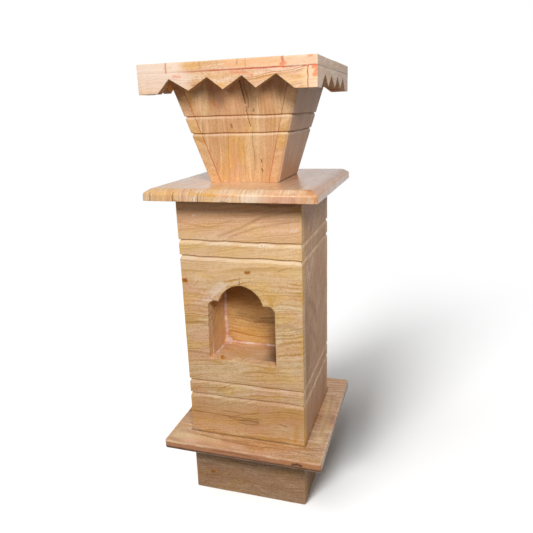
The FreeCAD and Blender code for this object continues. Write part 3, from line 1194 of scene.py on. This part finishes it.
def stone_finish(piece_name, family, seams=(), marks=(), **changes):
    """Lays a stone finish on a piece. Marks pair a face's outward direction with its strokes."""
    recipe = dict(family, **changes)
    tree, shader, at = start_finish(piece_name)
    colour, height = lay_figure(tree, at, recipe)
    seam_place = use_group(tree, ragged, {"Place": at, "Amount": seam_shake})["Place"]
    stroke_place = use_group(tree, ragged, {"Place": at, "Amount": stroke_shake})["Place"]
    colour = draw_seams(tree, colour, seam_place, seams)
    colour = draw_marks(tree, colour, stroke_place, marks)
    colour = draw_wear_and_painted_light(tree, colour, at, recipe)
    rough = calc(tree, "MULTIPLY_ADD", height, roughness_swing, recipe["roughness"] - roughness_drop)
    feed_skin(tree, shader, colour, rough, height, grain_relief, recipe["bump"])
    shader.inputs["Specular IOR Level"].default_value = recipe["gloss"]
    print(piece_name, "finish", len(tree.nodes), "nodes")


# %% [markdown]
# ## The column's finish
# Golden stone with level lines that rise over the niche. The front slab shows most, so it gets its own
# marks: two rust spots, a pit with a pale rim, the mason's scribed centre line over the arch,
# pale filler on the arch's shoulder, darker beds beside the niche, and a knotty blotch near the foot.
# Each mark is a stroke with its own colour, strength, width, softness and points on the face. Two wide
# strokes paint light and shade: a painted shadow under the cap plate and a painted lighter band round the
# upper grooves.
# The right slab stands in shade and gets a greyer copy of the stone as painted shade, with its groove lips
# tinted pale all the way, partly as wear and partly as a painted highlight.

# %% Places on flat faces
toward_front = Vector((0, -1, 0))
toward_right = Vector((1, 0, 0))
upward = Vector((0, 0, 1))


def flat_face(axis, level):
    """Gives a finder of places on a flat face, from their two other coordinates in millimetres."""
    def on_face(*places):
        found = []
        for place in places:
            point = Vector([length * MM for length in place[:axis] + (0,) + place[axis:]])
            point[axis] = level
            found.append(point)
        return found
    return on_face


# %% Column finishes
rust = srgb(174, 100, 12)
ochre_spot = srgb(214, 152, 44)
brown = srgb(128, 80, 36)
umber = srgb(88, 54, 30)
pale = srgb(252, 226, 206)
peach = srgb(244, 184, 132)
rose = srgb(224, 160, 148)
grey_rose = srgb(186, 148, 132)
rose_tan = srgb(244, 196, 160)
tea = srgb(176, 118, 62)
tan = srgb(206, 152, 100)
honey = srgb(255, 228, 176)
warm_end = srgb(250, 208, 162)
clay = srgb(206, 132, 84)
# Colours of the painted shadows in the niche.
jamb_shadow = srgb(126, 106, 92)
arch_shadow_amber = srgb(146, 92, 20)
red = srgb(186, 62, 30)
orange = srgb(234, 112, 52)

on_column = flat_face(Y, column_low.y)
column_marks = [
    (rose_tan, 0.40, 84, 0.3, on_column((-125, 616), (125, 622))),
    (honey, 0.10, 44, 0.8, on_column((-125, 292), (125, 296))),
    # Painted light: a lighter band round the upper grooves.
    (honey, 0.30, 70, 0.6, on_column((-125, 540), (125, 536))),
    (tan, 0.35, 80, 0.4, on_column((-125, 186), (125, 190))),
    (tea, 0.40, 5, 0.95, on_column((-40, 586), (6, 604), (50, 626), (122, 640))),
    (tea, 0.35, 4, 0.95, on_column((-20, 584), (40, 606), (122, 620))),
    (tea, 0.30, 3, 0.95, on_column((-122, 612), (-60, 602), (-10, 618))),
    # Painted shadow under the cap plate.
    (brown, 0.60, 18, 0.9, on_column((-125, 660), (125, 654))),
    (brown, 0.40, 5, 0.9, on_column((30, 652), (70, 646), (110, 648))),
    (rust, 1.00, 8, 0.6, on_column((-126, 491), (-116, 491.5))),
    (rust, 0.95, 6, 0.7, on_column((13, 515.5), (19, 516.5))),
    (pale, 0.70, 8, 0.4, on_column((45, 570.5), (46.5, 571))),
    (umber, 0.85, 2.6, 0.5, on_column((45.8, 570.5), (46.6, 571))),
    (pale, 0.60, 5, 0.5, on_column((-90, 625), (-88, 625.5))),
    (umber, 0.75, 1.3, 0.4, on_column((-1.5, 486), (-2, 505))),
    (pale, 0.50, 14, 0.95, on_column((-58, 472), (-38, 486))),
    (pale, 0.65, 4, 0.9, on_column((-62, 460), (-48, 474), (-30, 487))),
    (pale, 0.60, 5, 0.9, on_column((-80, 452), (-64, 454))),
    (ochre_spot, 0.50, 9, 0.95, on_column((63, 450), (60, 466))),
    (tea, 0.50, 3, 0.8, on_column((78, 522), (92, 528), (104, 529))),
    (pale, 0.55, 4, 0.9, on_column((104, 600), (116, 604))),
    (tea, 0.45, 8, 0.9, on_column((-125, 403), (-98, 405), (-73, 400))),
    (tea, 0.40, 9, 0.9, on_column((74, 409), (96, 411), (122, 404))),
    (tea, 0.50, 4.5, 0.9, on_column((-125, 336), (-73, 334))),
    (tea, 0.40, 5, 0.9, on_column((75, 367), (98, 376), (122, 381))),
    (ochre_spot, 0.45, 3, 0.8, on_column((78, 371), (104, 379))),
    (ochre_spot, 0.60, 4.5, 0.8, on_column((-68, 318), (-50, 316))),
    (ochre_spot, 0.60, 4.5, 0.8, on_column((44, 313), (66, 314))),
    (brown, 0.50, 2.2, 0.8, on_column((-125, 195), (-28, 192), (34, 194))),
    (brown, 0.45, 2.2, 0.8, on_column((-50, 204), (8, 204), (30, 209))),
    (brown, 0.55, 2.4, 0.9, on_column((-40, 190), (-14, 186), (8, 189), (26, 186))),
    (brown, 0.50, 2, 0.9, on_column((-20, 181), (0, 178), (22, 181))),
    (brown, 0.25, 12, 0.95, on_column((-6, 186), (22, 187))),
    (umber, 0.60, 2, 0.7, on_column((72, 190), (80, 188), (88, 185))),
    (ochre_spot, 0.45, 9, 0.9, on_column((111, 190), (106, 158))),
    (ochre_spot, 0.90, 4.5, 0.5, on_column((103.5, 154), (105, 155))),
]
# Greyer copy of the stone for the right slab: painted shade.
shaded_side_stone = dict(golden, light=srgb(255, 212, 178), dark=srgb(242, 186, 152), line=srgb(170, 116, 62),
              blush=srgb(234, 180, 138), ochre=srgb(230, 174, 94), shade=srgb(196, 144, 94),
              lines=0.6, spacing=16 * MM, streaks=0.35, flecks=0.6, mottle=0.6)
foot_line = [(umber, 0.65, (0, 0, 1), column_low.z, 2.4 * MM)]
on_column_side = flat_face(X, column_high.x)
column_side_marks = [
    (brown, 0.35, 60, 0.9, on_column_side((-96, 440), (-84, 350), (-96, 280))),
    (brown, 0.35, 16, 0.9, on_column_side((-70, 446), (-20, 414), (0, 380))),
    (brown, 0.30, 12, 0.9, on_column_side((-60, 380), (-10, 340), (10, 300))),
    (pale, 0.35, 10, 0.9, on_column_side((-84, 520), (-60, 490))),
    (pale, 0.30, 6, 0.9, on_column_side((-40, 540), (-20, 500))),
    (umber, 0.55, 3, 0.7, on_column_side((-50, 470), (-46, 466))),
    (umber, 0.45, 3, 0.7, on_column_side((20, 330), (24, 326))),
    (grey_rose, 0.45, 60, 0.6, on_column_side((-125, 176), (125, 176))),
]
stone_finish("column_front", golden, seams=foot_line, marks=[(toward_front, column_marks)],
             shift=(0.31, 0.0, 0.12), turn=(0, 7, 0))
stone_finish("column_back", golden, seams=foot_line, shift=(2.4, 0.6, 1.1), turn=(0, 4, 0))
stone_finish("column_left", golden, seams=foot_line, shift=(1.7, 2.2, 0.4), turn=(3, 0, 0))
stone_finish("column_right", shaded_side_stone, seams=foot_line, marks=[(toward_right, column_side_marks)],
             lip=srgb(255, 222, 186), lip_share=0.75, shift=(0.9, 3.1, 0.7), turn=(-58, 0, 0))

# %% [markdown]
# ## The niche's finish
# Warmer and more yellow than the column, with steep lines on the left cheek and level beds on the back.
# The upper part of the back is darkened amber by a painted shadow of the arch, and a painted shadow of the
# right jamb darkens the right end of back and floor.

# %% Niche finishes
niche_stone = dict(golden, light=srgb(250, 221, 162), dark=srgb(246, 203, 138), blush=srgb(236, 176, 134),
                   line=srgb(180, 112, 20), shade=srgb(210, 148, 70), blush_share=0.2, lines=0.95,
                   roughness=0.42)
on_niche_back = flat_face(Y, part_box("niche_back")[0].y)
on_niche_floor = flat_face(Z, niche_low)
niche_back_marks = [
    (brown, 0.45, 4, 0.9, on_niche_back((-6, 372), (24, 374), (74, 373))),
    (brown, 0.35, 2.6, 0.9, on_niche_back((8, 382), (40, 384), (74, 382))),
    (brown, 0.30, 3, 0.9, on_niche_back((-44, 390), (-24, 388))),
    (brown, 0.30, 16, 0.9, on_niche_back((-40, 386), (10, 379), (74, 379))),
    # Painted shadow of the arch over the upper back, in amber.
    (arch_shadow_amber, 0.62, 64, 0.8, on_niche_back((-74, 448), (74, 452))),
    (arch_shadow_amber, 0.62, 44, 0.9, on_niche_back((-74, 486), (74, 484))),
    # Painted shadow of the right jamb.
    (jamb_shadow, 0.35, 36, 0.9, on_niche_back((46, 324), (46, 400))),
]
niche_floor_marks = [
    # Painted shadow of the right jamb on the floor.
    (jamb_shadow, 0.75, 34, 0.9, on_niche_floor((54, -112), (54, -30))),
]
cheek_line = [(pale, 0.8, (0, 1, 0), column_high.y, 2.2 * MM)]
stone_finish("niche_back", niche_stone, marks=[(toward_front, niche_back_marks)], shift=(0.7, 1.3, 2.2),
             ochre_share=0.4, spacing=7 * MM, lines=0.75)
stone_finish("niche_left", niche_stone, seams=cheek_line,
             light=srgb(244, 211, 172), dark=srgb(236, 191, 150),
             shift=(1.1, 0.2, 1.9), turn=(-42, 0, 0), blush_share=0.4, mottle=0.2, spacing=10 * MM,
             lines=0.7, streaks=0.2)
stone_finish("niche_right", niche_stone, shift=(2.1, 1.2, 0.9), turn=(35, 0, 0))
stone_finish("niche_floor", niche_stone, marks=[(upward, niche_floor_marks)],
             light=srgb(240, 206, 168), dark=srgb(228, 182, 148),
             shift=(0.4, 2.2, 1.2), turn=(62, 0, 8), blush_share=0.4, mottle=0.25, lines=0.6, streaks=0.2)
stone_finish("niche_ceiling", niche_stone, shift=(0.2, 0.2, 3.2), turn=(70, 0, 0))

# %% [markdown]
# ## The pot's finish
# Here the beds stand upright, so the figure is turned on its side: broad soft stripes of tan,
# honey and rose. A dark crack runs down the front slab and forks near the top. Red filler shows in the two
# slanting joints, and a few small pits have gone nearly black.

# %% Pot finishes
pot_stone = dict(golden, light=srgb(249, 213, 166), dark=srgb(236, 186, 142), line=srgb(172, 110, 42),
                 blush=srgb(238, 178, 142), ochre=srgb(248, 196, 94), shade=srgb(208, 150, 94),
                 spacing=13 * MM, lines=0.7, streaks=0.3, flecks=0.3, mottle=0.25, blush_share=0.4,
                 ochre_share=0.5, waviness=50 * MM, lip_share=0.4)


def on_pot(*places):
    """Places on the pot's front face, each given as X and height over its foot in millimetres."""
    found = []
    for x, height in places:
        level = pot_low.z + height * MM
        found.append(Vector((x * MM, -pot_half_at(level)[1], level)))
    return found


def pot_seam(side):
    """Slanting joint near one corner of the front face."""
    foot_x, top_x = [side * (half.x - pot_side_wall) / MM for half in (pot_half_bottom, pot_half_top)]
    return on_pot((foot_x, 0), (top_x, (pot_half_top.z - pot_half_bottom.z) / MM))


pot_lean = pot_half_top - pot_half_bottom
pot_out = Vector((0, -pot_lean.z, -pot_lean.y)).normalized()
pot_front_marks = [
    (red, 0.60, 1.8, 0.5, pot_seam(-1)),
    (red, 0.50, 1.8, 0.5, pot_seam(1)),
    (umber, 0.85, 1.9, 0.8, on_pot((11, 199), (14, 176), (19, 146))),
    (umber, 0.75, 1.6, 0.8, on_pot((20, 140), (20, 124), (25, 106))),
    (umber, 0.55, 1.1, 0.8, on_pot((26, 98), (25, 72), (27, 50), (24, 24))),
    (umber, 0.55, 1.3, 0.8, on_pot((21, 196), (20, 176), (26, 150), (24, 138))),
    (brown, 0.35, 6, 0.9, on_pot((13, 199), (20, 150))),
    (umber, 0.70, 3, 0.6, on_pot((38, 44), (39, 40))),
    (umber, 0.70, 2.6, 0.6, on_pot((38, 26), (38.5, 22))),
    (umber, 0.60, 3, 0.7, on_pot((-13, 110), (-12.5, 104))),
    # Two pairs of grooves run round the column and one pair round the pot. They were ground by hand with
    # the edge of a disc: a steep upper side that stays in shadow, and a wide lower lip that catches the
    # light. The root's loop is drawn in towards the axis, and the loop below it less, so that the lip is
    # round. Attributes remember the root, which is tinted dark for dirt and as a painted shade, and the
    # lip, which is tinted pale for wear and as a painted highlight, and one more loop under the lip stops
    # them there.
    (umber, 0.50, 3, 0.7, on_pot((32, 132), (34, 136))),
    (orange, 0.35, 7, 0.9, on_pot((-44, 150), (-40, 144))),
    (rose, 0.20, 14, 0.9, on_pot((-14, 72), (-12, 20))),
    (rose, 0.25, 10, 0.9, on_pot((-34, 190), (-30, 140))),
    (pale, 0.75, 3.4, 0.6, on_pot((-63, 2), (-60, 3))),
    (pale, 0.60, 3, 0.6, on_pot((-41, 2), (-38, 2))),
    (pale, 0.50, 3, 0.6, on_pot((-4, 2), (0, 3))),
]
pot_side_out = Vector((pot_lean.z, 0, -pot_lean.x)).normalized()
pot_side_marks = [
    # Grey-rose cover over the right face: painted shade.
    (grey_rose, 0.50, 240, 0.05, [Vector((half.x, 0, half.z)) for half in (pot_half_bottom, pot_half_top)]),
    (umber, 0.80, 5, 0.3, flat_face(X, pot_half_bottom.x)((-70, pot_low.z / MM), (70, pot_low.z / MM))),
]
stone_finish("pot_front", pot_stone, marks=[(pot_out, pot_front_marks)], shift=(0.4, 1.4, 0.6),
             turn=(0, 86, 0))
stone_finish("pot_back", pot_stone, shift=(1.9, 0.3, 1.6), turn=(0, 94, 0))
stone_finish("pot_left", pot_stone, marks=[(pot_out, pot_front_marks[:1])], shift=(2.3, 0.9, 0.2),
             turn=(88, 8, 0))
stone_finish("pot_right", pot_stone,
             marks=[(pot_out, pot_front_marks[1:2]), (pot_side_out, pot_side_marks)],
             light=srgb(255, 222, 172), dark=srgb(242, 194, 148), blush_share=0.15,
             shift=(0.2, 2.9, 0.9), turn=(92, -6, 0))

# %% [markdown]
# ## The plates' finish
# The cap plate was ground with finer stones, so at a low angle it shines like glass. Its right side and the
# right of its top are darkened by painted shade. The base plate is redder and duller, with a dark line
# round the column's foot, a painted shade under its edges and a painted highlight along the top of its
# front edge.
# The strokes stop at rounded edges, so there a seam on a tilted plane draws the shade. The plinth gets the
# darkest colours, and its right slab a darker copy as painted shade.

# %% Cap plate finish
on_cap_edge = flat_face(Y, cap_low.y)
on_cap_top = flat_face(Z, cap_high.z)
cap_marks = [(brown, 0.70, 2.4, 0.6, on_cap_edge((x, 660), (x + 2, 676))) for x in (-151, -105, -55)]
cap_marks += [
    (orange, 0.35, 4, 0.9, on_cap_edge((-34, 674), (16, 672))),
    (ochre_spot, 0.50, 5, 0.9, on_cap_edge((-70, 675), (-20, 673))),
    (brown, 0.45, 3, 0.8, on_cap_edge((-104, 663), (-96, 662))),
    (brown, 0.55, 3, 0.8, on_cap_edge((-10, 662), (2, 661))),
    (brown, 0.45, 3, 0.8, on_cap_edge((88, 662), (96, 663))),
    (pale, 0.40, 12, 0.9, on_cap_edge((36, 670), (70, 669))),
    (rose, 0.40, 14, 0.9, on_cap_edge((96, 668), (120, 668))),
    (clay, 0.30, 20, 0.6, on_cap_edge((70, 668), (166, 668))),
]
cap_top_marks = [
    # Painted shade on the right of the top.
    (grey_rose, 0.45, 150, 0.5, on_cap_top((140, 110), (150, -60))),
    (clay, 0.20, 60, 0.9, on_cap_top((-150, -110), (-110, 40))),
]
# Painted shade along the cap's right side.
cap_side_lean = Vector((1, 0, 1)).normalized()
cap_side_shade = [(clay, 0.75, tuple(cap_side_lean), cap_high.dot(cap_side_lean), 20 * MM)]
stone_finish("cap_plate", golden, seams=cap_side_shade,
             marks=[(toward_front, cap_marks), (upward, cap_top_marks)],
             light=srgb(255, 238, 208), dark=srgb(254, 216, 178), blush=srgb(246, 190, 156),
             ochre=srgb(252, 200, 106), line=srgb(184, 118, 62), shade=srgb(232, 176, 122),
             shift=(0.6, 0.5, 2.2), turn=(4, 80, 16), spacing=14 * MM, roughness=0.18, bump=0.08,
             lines=0.8, flecks=0.3, streaks=0.3, mottle=0.4, blush_share=0.5, ochre_share=0.5,
             edge_share=0.2, gloss=0.36)

# %% Base plate finish
base_low, base_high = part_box("base_plate")
on_base_edge = flat_face(Y, base_low.y)
on_base_top = flat_face(Z, base_high.z)
base_marks = [
    (clay, 0.75, 16, 0.6, on_base_edge((-170, 139), (170, 139))),
    # Painted shade along the bottom of the front edge.
    (umber, 0.75, 7, 0.5, on_base_edge((-168, 131), (-40, 130), (60, 130.5), (168, 130))),
    (umber, 0.90, 5, 0.7, on_base_edge((112, 137), (122, 139), (130, 137))),
    (brown, 0.50, 3, 0.8, on_base_edge((-60, 140), (-10, 141), (40, 138))),
    # Painted highlights along the top of the front edge.
    (honey, 0.70, 3, 0.7, on_base_edge((-168, 145), (-120, 144))),
    (honey, 0.50, 2.4, 0.7, on_base_edge((-96, 145), (-80, 144))),
    (honey, 0.50, 2.4, 0.7, on_base_edge((60, 145), (84, 144))),
]
base_top_marks = [
    (umber, 0.55, 4.6, 0.5, on_base_top(
        (-127, -127), (127, -127), (127, 127), (-127, 127), (-127, -127))),
    (honey, 0.55, 26, 0.8, on_base_top((-150, -150), (-60, -148))),
    (honey, 0.45, 16, 0.8, on_base_top((150, -100), (148, 60))),
    (rose_tan, 0.50, 20, 0.8, on_base_top((-120, -166), (-20, -160))),
    (tea, 0.35, 8, 0.95, on_base_top((-150, -138), (-60, -142), (40, -158))),
    (tea, 0.40, 6, 0.95, on_base_top((20, -136), (90, -140), (150, -134))),
    (tea, 0.35, 8, 0.95, on_base_top((150, -80), (152, 0), (146, 90))),
    (brown, 0.45, 3, 0.8, on_base_top((40, -150), (100, -146), (150, -152))),
    (brown, 0.45, 3, 0.8, on_base_top((-100, -140), (-60, -146), (20, -142))),
]
# Painted shade along the underside of all four edges.
base_under_shade = []
for direction in ((0, -1, -1), (0, 1, -1), (1, 0, -1), (-1, 0, -1)):
    tilted = Vector(direction).normalized()
    corner = Vector((base_high.x * direction[0], base_high.y * direction[1], base_low.z))
    base_under_shade.append((umber, 0.85, tuple(tilted), corner.dot(tilted), 5.6 * MM))
# The pale edge tint is partly wear and partly a painted highlight.
stone_finish("base_plate", golden, seams=base_under_shade,
             marks=[(toward_front, base_marks), (upward, base_top_marks)],
             light=srgb(255, 224, 188), dark=srgb(250, 206, 168), line=srgb(140, 80, 30),
             blush=srgb(246, 188, 152), ochre=srgb(246, 198, 116), lines=0.65, flecks=0.45,
             shade=srgb(206, 152, 104), shift=(1.2, 0.4, 0.9), turn=(58, 0, 3), spacing=13 * MM,
             mottle=0.5, roughness=0.34, bump=0.25, blush_share=0.4, edge=srgb(255, 222, 188),
             edge_share=0.4, gloss=0.32)

# %% Plinth finishes
on_plinth = flat_face(Y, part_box("plinth_front")[0].y)
plinth_marks = [
    (rust, 0.90, 6, 0.4, on_plinth((-88, 45), (-82, 46))),
    (umber, 0.40, 3, 0.9, on_plinth((-40, 80), (20, 78))),
]
plinth_stone = dict(golden, light=srgb(234, 198, 162), dark=srgb(214, 172, 138), line=srgb(134, 82, 34),
                    blush=srgb(216, 166, 132), ochre=srgb(220, 172, 104), edge=srgb(206, 160, 104),
                    shade=srgb(178, 130, 86), lines=0.65)
# Darker copy for the right slab: painted shade.
shaded_plinth = dict(light=srgb(204, 164, 128), dark=srgb(184, 142, 106))
for number, name in enumerate(plinth_nodes):
    changes = shaded_plinth if name == "plinth_right" else {}
    stone_finish(name, plinth_stone, marks=[(toward_front, plinth_marks)] if name == "plinth_front" else (),
                 shift=(0.7 * number, 1.1, 0.3 * number), **changes)

# %% [markdown]
# ## The canopy's finish
# The palest stone. Red and orange filler was rubbed into its joints and into the chips at one corner.
# All that looks down is darkened by a painted shade. The boards on the right stand in shade: there the
# filler is painted brown, as it looks in shade, and their ground is painted paler, so that the shade
# doesn't swallow the figure.

# %% Canopy finishes
canopy_stone = dict(golden, light=srgb(255, 236, 210), dark=srgb(250, 214, 178), line=srgb(186, 116, 52),
                    blush=srgb(250, 204, 176), ochre=srgb(250, 198, 104), edge=srgb(248, 218, 180),
                    shade=srgb(228, 174, 122), lines=1.05, streaks=0.28, flecks=0.42, mottle=0.5,
                    blush_share=0.4, ochre_share=0.65, roughness=0.5, spacing=9 * MM, edge_share=0.5,
                    underside_shade_share=0.7)
rim_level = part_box("rim_front")[0].z
seam_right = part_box("rim_front")[1].x / MM
seam_left = -seam_right
seam_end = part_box("fascia_right")[0].x / MM
joint_line = [(red, 0.95, (0, 0, 1), rim_level, 1.7 * MM)]
# Brown for the right boards' red filler: painted shade.
shaded_joint_line = [(umber, 0.50, (0, 0, 1), rim_level, 1.7 * MM)]
on_canopy = flat_face(Y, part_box("rim_front")[0].y)
canopy_marks = [
    (pale, 0.70, 38, 0.8, on_canopy((-165, 868), (-80, 868))),
    (pale, 0.85, 26, 0.8, on_canopy((-165, 893), (-90, 893))),
    (peach, 0.60, 14, 0.3, on_canopy((10, 892), (160, 893))),
    (pale, 0.20, 24, 0.9, on_canopy((104, 866), (150, 868))),
    (warm_end, 0.75, 40, 0.2, on_canopy((156, 866), (164, 866))),
    (tea, 0.30, 1.8, 0.8, on_canopy((148, 862), (156, 863), (164, 862))),
    (tea, 0.25, 1.6, 0.8, on_canopy((148, 857), (156, 856), (164, 857))),
    (tea, 0.25, 1.6, 0.8, on_canopy((150, 879), (158, 878))),
    (red, 0.90, 2, 0.5, on_canopy((140, 884), (164, 884))),
    (ochre_spot, 0.30, 8, 0.95, on_canopy((-30, 872), (10, 876), (30, 872))),
    (ochre_spot, 0.30, 6, 0.95, on_canopy((60, 868), (100, 872), (140, 866))),
    (ochre_spot, 0.20, 4, 0.95, on_canopy((-110, 890), (-96, 892))),
    (red, 0.80, 3, 0.6, on_canopy((seam_left, 884), (seam_left, 900))),
    (red, 1.00, 4.2, 0.5, on_canopy((seam_right, 884), (seam_right, 892), (seam_right - 2, 900))),
    (orange, 0.80, 7, 0.7, on_canopy((seam_right - 4, 886), (seam_right + 2, 888))),
    (brown, 0.30, 2, 0.8, on_canopy((-42, 884), (-42, 900))),
    (umber, 0.35, 3, 0.9, on_canopy((26, 892), (27, 900))),
    (brown, 0.35, 1.6, 0.8, on_canopy((41, 884), (41, 900))),
    (red, 0.90, 1.9, 0.5, on_canopy((seam_end, 849), (seam_end, 884))),
    (orange, 0.80, 5, 0.7, on_canopy((156, 881), (162, 882))),
    (orange, 0.80, 5, 0.7, on_canopy((160, 875), (163, 878))),
    (orange, 0.75, 6, 0.7, on_canopy((157, 869), (163, 870))),
    (orange, 0.70, 4, 0.7, on_canopy((150, 898), (154, 899))),
    (orange, 0.45, 4, 0.9, on_canopy((15, 880), (40, 877), (52, 873))),
    (orange, 0.40, 5, 0.9, on_canopy((-92, 877), (-80, 876))),
    (pale, 0.60, 3, 0.8, on_canopy((-163, 883), (-120, 884))),
    (brown, 0.40, 3, 0.9, on_canopy((-58, 861), (-44, 862))),
    (rose, 0.35, 2, 0.8, on_canopy((60, 880), (84, 884))),
]
canopy_nodes = [stage + side for stage in ("rim_", "fascia_")
                for side in ("front", "left", "right", "back")]
# Paler copy of the ground for the right boards: painted light against their shade.
painted_light_side = dict(light=srgb(255, 242, 226), dark=srgb(255, 232, 214), mottle=0.3, lines=0.6, gloss=0.5)
for number, name in enumerate(canopy_nodes):
    in_shade = name.endswith("right")
    stone_finish(name, canopy_stone, seams=shaded_joint_line if in_shade else joint_line,
                 marks=() if name.endswith("back") else [(toward_front, canopy_marks)],
                 shift=(0.83 * number, 1.3 * number, 0.57 * number), turn=(4 - 2 * number, 3, 0),
                 **(painted_light_side if in_shade else {}))

# %% [markdown]
# ## The filler's finish
# Cement tinted with brick dust, smoother where a finger pressed it and paler where it has dried.

# %% Filler finish
tree, shader, at = start_finish("niche_joint_filler")
patches = ramp(tree, soft_field(tree, at, (60.0, 60.0, 60.0), 3.0), 0.38, 0.62)
crumbs = soft_field(tree, at, (900.0, 900.0, 900.0), 3.0)
crumb_relief = 0.5 * MM
feed_skin(tree, shader, tint(tree, patches, srgb(244, 218, 200), srgb(226, 180, 156)),
          calc(tree, "MULTIPLY_ADD", crumbs, 0.3, 0.45), crumbs, crumb_relief, 0.5)
print("filler finish", len(tree.nodes), "nodes")

# %% [markdown]
# ## Floor, world and lamps
# The planter stands on a white floor that runs to the horizon. The camera and mirror rays see it white
# with its shadow, and it fades to pure white far away. For light that bounces it is darker, so that
# the shaded sides of the stone stay as dark as they are in the photograph. The world is made
# the same way. Two lamps in front and one behind light only the stone. Two wide suns light
# only the floor: a low one throws the long soft shadow to the right, a higher one the round shadow
# close to the plinth. Light linking keeps them apart, so the shadow's depth doesn't change the stone.

# %% Floor
white = (1.0, 1.0, 1.0, 1.0)
bounce_grey = (0.12, 0.12, 0.12, 1.0)
floor_side = 60
shadow_reach = 0.32
pure_white_from = 1.88

bpy.ops.object.select_all(action="DESELECT")
bpy.ops.mesh.primitive_plane_add(size=floor_side, location=(0, 0, 0))
floor = bpy.context.object
floor.name = "floor"
floor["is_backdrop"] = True

floor_finish = bpy.data.materials.new("white_floor")
floor_finish.use_nodes = True
tree = floor_finish.node_tree
tree.nodes.clear()
at = add_node(tree, "TexCoord").outputs["Object"]
far = ramp(tree, vector_calc(tree, "LENGTH", at, output="Value"), shadow_reach, pure_white_from)
path = add_node(tree, "LightPath").outputs
seen_by_eye = calc(tree, "MAXIMUM", path["Is Camera Ray"], path["Is Glossy Ray"])
white_cloth = add_node(tree, "BsdfDiffuse", {"Color": white}).outputs["BSDF"]
white_glow = add_node(tree, "Emission", {"Color": white}).outputs["Emission"]
dim_cloth = add_node(tree, "BsdfDiffuse", {"Color": bounce_grey}).outputs["BSDF"]
seen = add_node(tree, "MixShader", {0: far, 1: white_cloth, 2: white_glow}).outputs["Shader"]
by_ray = add_node(tree, "MixShader", {0: seen_by_eye, 1: dim_cloth, 2: seen}).outputs["Shader"]
add_node(tree, "OutputMaterial", {"Surface": by_ray})
floor.data.materials.append(floor_finish)
print("floor", floor_side, "m wide")

# %% World
fill_level = 0.19
mirrored_share = 0.8

world = bpy.data.worlds.new("studio")
world.use_nodes = True
bpy.context.scene.world = world
tree = world.node_tree
backdrop = tree.nodes["Background"]
path = add_node(tree, "LightPath").outputs
seen_by_eye = calc(tree, "MULTIPLY_ADD", path["Is Glossy Ray"], mirrored_share, path["Is Camera Ray"])
level = add_node(tree, "Mix", {"Factor": seen_by_eye, "A": fill_level, "B": 1.0}, data_type="FLOAT")
wire(tree, level.outputs["Result"], backdrop.inputs["Strength"])
wire(tree, white, backdrop.inputs["Color"])
print("world level", fill_level)

# %% Lamps
stone_group = bpy.data.collections.new("lit_stone")
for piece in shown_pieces():
    stone_group.objects.link(piece)
floor_group = bpy.data.collections.new("lit_floor")
floor_group.objects.link(floor)


def add_lamp(name, kind, power, lit):
    """Lamp of a kind that lights one collection."""
    data = bpy.data.lights.new(name, kind)
    data.energy = power
    lamp = bpy.data.objects.new(name, data)
    bpy.context.scene.collection.objects.link(lamp)
    lamp.light_linking.receiver_collection = lit
    return lamp


def soft_lamp(name, place, target, side, power, mirrored=True):
    """Square lamp that faces a target and lights the stone."""
    lamp = add_lamp(name, "AREA", power, stone_group)
    lamp.data.shape = "SQUARE"
    lamp.data.size = side
    lamp.location = place
    lamp.rotation_euler = (Vector(target) - Vector(place)).to_track_quat("-Z", "Y").to_euler()
    lamp.visible_glossy = mirrored


def floor_sun(name, side, height, width, power):
    """Wide sun that lights the floor, from a side and a height given in degrees."""
    sun = add_lamp(name, "SUN", power, floor_group)
    sun.data.angle = math.radians(width)
    side, height = math.radians(side), math.radians(height)
    level_share = math.cos(height)
    sun_from = Vector((-math.sin(side) * level_share, -math.cos(side) * level_share, math.sin(height)))
    sun.rotation_euler = sun_from.to_track_quat("Z", "Y").to_euler()


soft_lamp("front_lamp", place=(0.63, -1.27, 1.45), target=(0, 0, 0.62), side=0.4, power=17.3)
soft_lamp("edge_lamp", place=(-0.3, -1.35, 1.35), target=(0, 0, 0.62), side=0.3, power=4.2)
soft_lamp("back_lamp", place=(-1.6, 1.9, 0.45), target=(0, 0, 0.5), side=0.8, power=30, mirrored=False)
floor_sun("long_shadow_sun", side=18.4, height=20.0, width=26.7, power=4.63)
floor_sun("round_shadow_sun", side=29.5, height=52.2, width=53.0, power=1.63)
print("lamps", [lamp.name for lamp in bpy.data.lights])
